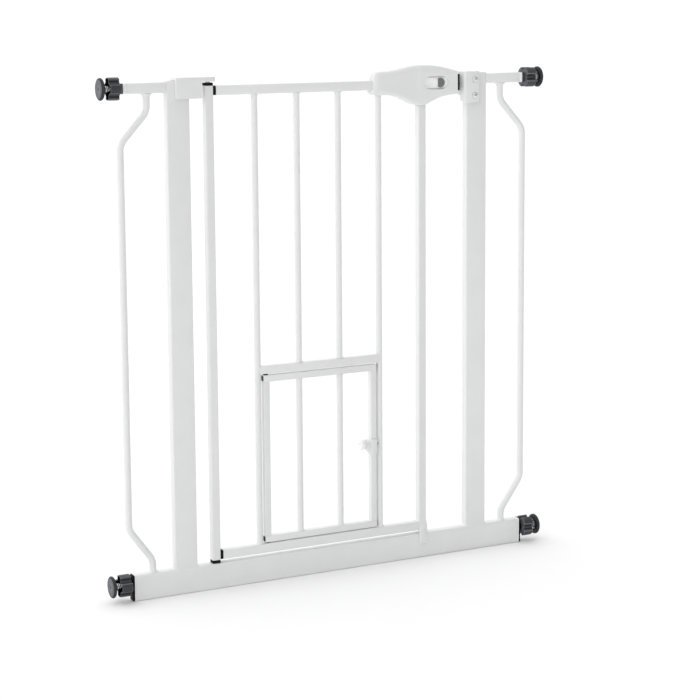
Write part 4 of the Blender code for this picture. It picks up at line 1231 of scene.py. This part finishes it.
def build_slider():
    """The sliding plate seen in the window, its grey button, and the bolt."""
    plate_front = SHELL_FRONT + SHELL_WALL + 0.3 * MM
    plate_back = plate_front + 1.5 * MM
    (x_low, x_high), (z_low, z_high) = (SLIDER_X, SLIDER_Z)
    columns, rows = 90, 40
    bm = bmesh.new()
    verts = []
    for i in range(columns + 1):
        x = x_low + (x_high - x_low) * i / columns
        line = []
        for j in range(rows + 1):
            z = z_low + (z_high - z_low) * j / rows
            rise = float(step_up(x, 164 * MM, 174.4 * MM)) * float(1 - step_up(x, 186.0 * MM, 189.5 * MM))
            rise *= float(1 - step_up(abs(z - WINDOW[1]), 5.2 * MM, 7.6 * MM))
            dish = float(step_up(x, 150 * MM, 158 * MM)) * float(1 - step_up(x, 160 * MM, 170 * MM))
            dish *= float(1 - step_up(abs(z - WINDOW[1]), 2 * MM, 9 * MM))
            sunk = float(step_up(abs(z - WINDOW[1]), 8.0 * MM, 8.9 * MM))
            back = plate_front - 1.2 * MM * rise + 0.7 * MM * dish * (1 - sunk) + 1.2 * MM * sunk
            line.append(bm.verts.new((x, back, z)))
        verts.append(line)
    for i in range(columns):
        for j in range(rows):
            bm.faces.new((verts[i][j], verts[i + 1][j], verts[i + 1][j + 1], verts[i][j + 1]))
    rim = [verts[i][0] for i in range(columns)] + [verts[columns][j] for j in range(rows)]
    rim += [verts[i][rows] for i in range(columns, 0, -1)] + [verts[0][j] for j in range(rows, 0, -1)]
    rear = [bm.verts.new((v.co.x, plate_back, v.co.z)) for v in rim]
    bridge(bm, rim, rear)
    bm.faces.new(rear)
    # The plate uses the paler moulding. This is partly the slider's own whiter plastic and partly painted
    # light for the plate catching light in the window.
    piece("latch_slider_plate", bm, BRIGHT, "latch", "latch_slider", sharp=45)

    outline = []
    radius = BUTTON_R / MM
    flat = -4.4
    turn = math.acos(flat / radius)
    for k in range(49):
        angle = -turn + 2 * turn * k / 48
        outline.append(np.array((radius * math.cos(angle), radius * math.sin(angle))))
    flat_count = 12
    top_end, low_end = outline[-1], outline[0]
    for k in range(1, flat_count):
        outline.append(top_end + (low_end - top_end) * k / flat_count)
    outline = np.array(outline) * MM
    middle = np.array((1.6, 0.0)) * MM
    loops = []
    button_back = plate_front - 1.35 * MM
    button_front = SHELL_FRONT + 0.25 * MM
    crown = ((0.0, 1.0), (0.55, 1.0), (0.8, 0.975), (0.93, 0.92), (1.0, 0.84), (1.03, 0.6), (1.04, 0.3))
    for share, scale in crown:
        loop = [tuple(middle + (p - middle) * scale) for p in outline]
        along = button_back + (button_front - button_back) * share
        loops.append(at(loop, (BUTTON_X, 0, WINDOW[1]), "Y", along))
    loops.insert(0, at([tuple(p) for p in outline], (BUTTON_X, 0, WINDOW[1]), "Y", plate_front + 0.2 * MM))
    piece("latch_button_cap", skin(loops), GREY, "latch", "latch_button", sharp=45)

    nose = box(
        (CARRIAGE_X[1] - 6 * MM, BOLT_Y - BOLT_T / 2, BOLT_Z[0]), (BOLT_TIP, BOLT_Y + BOLT_T / 2, BOLT_Z[1]),
    )
    bolt = piece("latch_bolt_bar", nose, BLACK, "latch", "latch_bolt")
    cut(bolt, box(
        (CARRIAGE_X[0], LEAF_Y - CARRIAGE_HALF, CARRIAGE_Z[0]),
        (CARRIAGE_X[1], LEAF_Y + CARRIAGE_HALF, CARRIAGE_Z[1]),
    ), "UNION")
    bevelled(bolt, 0.6 * MM)
    spring_line = (0, LEAF_Y, SPRING_Z)
    cut(bolt, prism(circle(SPRING_BORE_R, 40), spring_line, "X", CARRIAGE_X[0] - 3 * MM, SPRING_END))


# ---- keeper


def build_keeper():
    """The catch on the right post that the bolt enters, and its two screws."""
    room = 0.3 * MM
    (left, right), (front, back), (low, high) = (KEEPER_X, KEEPER_Y, KEEPER_Z)
    post_front = -FRAME_D / 2 - room
    post_side = POST_IN - room
    plan = [(right, front), (right, post_front), (post_side, post_front), (post_side, back), (left, back)]
    for k in range(9):
        turn = math.pi / 2 * k / 8
        plan.append((
            left + KEEPER_ROUND * (1 - math.cos(turn)),
            front + KEEPER_ROUND * (1 - math.sin(turn)),
        ))
    keeper = piece("keeper_block", prism(plan, (0, 0, 0), "Z", low, high), WHITE, "frame", "keeper")
    for edge, rise in ((post_front, 2.5 * MM), (0.5 * MM, 11 * MM)):
        cut(keeper, box(
            (left - 5 * MM, edge, low - 5 * MM), (post_side + 5 * MM, back + 5 * MM, low + rise),
        ))
    bevelled(keeper, 0.8 * MM)
    cut(keeper, box(
        (left - 3 * MM, BOLT_Y - BOLT_T / 2 - 0.5 * MM, BOLT_Z[0] - 0.5 * MM),
        (post_side + 1 * MM, BOLT_Y + BOLT_T / 2 + 0.5 * MM, BOLT_Z[1] + 0.5 * MM),
    ))
    for level, z in KEEPER_SCREW_Z.items():
        screw(
            f"keeper_screw_{level}_head", (KEEPER_SCREW_X, 0, z), front - 0.1 * MM, -1, 4.8 * MM, 2.5 * MM,
            "frame", f"keeper_screw_{level}",
        )


# ---- stage


CAMERA_AT = (-1.25066, -2.54737, 0.87301)
CAMERA_TURN = (26.685, 8.108, -0.369)
LENS = 98.485
SENSOR = 36.0
SHIFT_Y = -0.12
SKY_FROM = (-0.53, 0.68, 0.50)
SKY_DIM, SKY_BRIGHT = (0.185, 1.31)
SKY_RANGE = (-0.80, 0.60)
SKY_SEEN = 1.1
SUN_FROM = (-0.55, -0.75, 0.35)
SUN_STRENGTH = 0.33
SUN_SPREAD = 60
FLOOR_REACH = 30.0


def build_stage():
    """A pale floor, a soft sky that is brighter behind the gate, and a weak wide sun in front of it."""
    world = bpy.data.worlds.new("studio")
    world.use_nodes = True
    bpy.context.scene.world = world
    tree = world.node_tree
    back = tree.nodes["Background"]
    coords = tree.nodes.new("ShaderNodeTexCoord").outputs["Generated"]
    dot = tree.nodes.new("ShaderNodeVectorMath")
    dot.operation = "DOT_PRODUCT"
    dot.inputs[1].default_value = SKY_FROM
    link(tree, coords, dot.inputs[0])
    strength = remap(tree, dot.outputs["Value"], SKY_DIM, SKY_BRIGHT, *SKY_RANGE)
    seen = tree.nodes.new("ShaderNodeLightPath").outputs["Is Camera Ray"]
    pick = tree.nodes.new("ShaderNodeMix")
    pick.data_type = "FLOAT"
    link(tree, seen, pick.inputs[0])
    link(tree, strength, pick.inputs[2])
    pick.inputs[3].default_value = SKY_SEEN
    link(tree, pick.outputs[0], back.inputs["Strength"])
    back.inputs["Color"].default_value = (1.0, 1.0, 1.0, 1.0)

    sun = bpy.data.lights.new("key", "SUN")
    sun.energy = SUN_STRENGTH
    sun.angle = math.radians(SUN_SPREAD)
    key = bpy.data.objects.new("key", sun)
    bpy.context.scene.collection.objects.link(key)
    key.rotation_euler = Vector(SUN_FROM).to_track_quat("Z", "Y").to_euler()

    floor_mesh = bpy.data.meshes.new("floor")
    corners = [(x * FLOOR_REACH, y * FLOOR_REACH, 0) for x, y in ((-1, -1), (1, -1), (1, 1), (-1, 1))]
    floor_mesh.from_pydata(corners, [], [(0, 1, 2, 3)])
    floor = bpy.data.objects.new("floor", floor_mesh)
    floor.location.z = -0.0002
    bpy.context.scene.collection.objects.link(floor)
    paint = bpy.data.materials.new("floor_paint")
    paint.use_nodes = True
    shader = paint.node_tree.nodes["Principled BSDF"]
    shader.inputs["Base Color"].default_value = (0.975, 0.975, 0.975, 1.0)
    shader.inputs["Roughness"].default_value = 0.9
    shader.inputs["Specular IOR Level"].default_value = 0.1
    floor_mesh.materials.append(paint)


def build_camera():
    """The camera, from its place and its yaw, pitch and roll."""
    data = bpy.data.cameras.new("camera")
    data.sensor_width = SENSOR
    data.lens = LENS
    data.shift_y = SHIFT_Y
    data.clip_start = 0.05
    data.clip_end = 200.0
    camera = bpy.data.objects.new("camera", data)
    bpy.context.scene.collection.objects.link(camera)
    yaw, pitch, roll = (math.radians(a) for a in CAMERA_TURN)
    ahead = Vector((math.sin(yaw) * math.cos(pitch), math.cos(yaw) * math.cos(pitch), -math.sin(pitch)))
    right = Vector((math.cos(yaw), -math.sin(yaw), 0))
    up = right.cross(ahead)
    x_axis = right * math.cos(roll) + up * math.sin(roll)
    y_axis = up * math.cos(roll) - right * math.sin(roll)
    turn = Matrix((x_axis, y_axis, -ahead)).transposed()
    camera.matrix_world = Matrix.Translation(CAMERA_AT) @ turn.to_4x4()
    bpy.context.scene.camera = camera


def dress_cad():
    """Give every CAD node that still shows the surface of its own slot."""
    for row in frame["record"]["subparts"]:
        node = frame["nodes"][row["node"]]
        node.data.materials.clear()
        node.data.materials.append(BY_SLOT[row["material_slot"]])
        node.data.shade_smooth()
        node.data.set_sharp_from_angle(angle=math.radians(35))


build_frame()
build_mounts()
build_hinge()
build_leaf()
build_pet_door()
build_handle()
build_keeper()
dress_cad()
build_stage()
build_camera()
bpy.context.scene.view_settings.view_transform = "Standard"
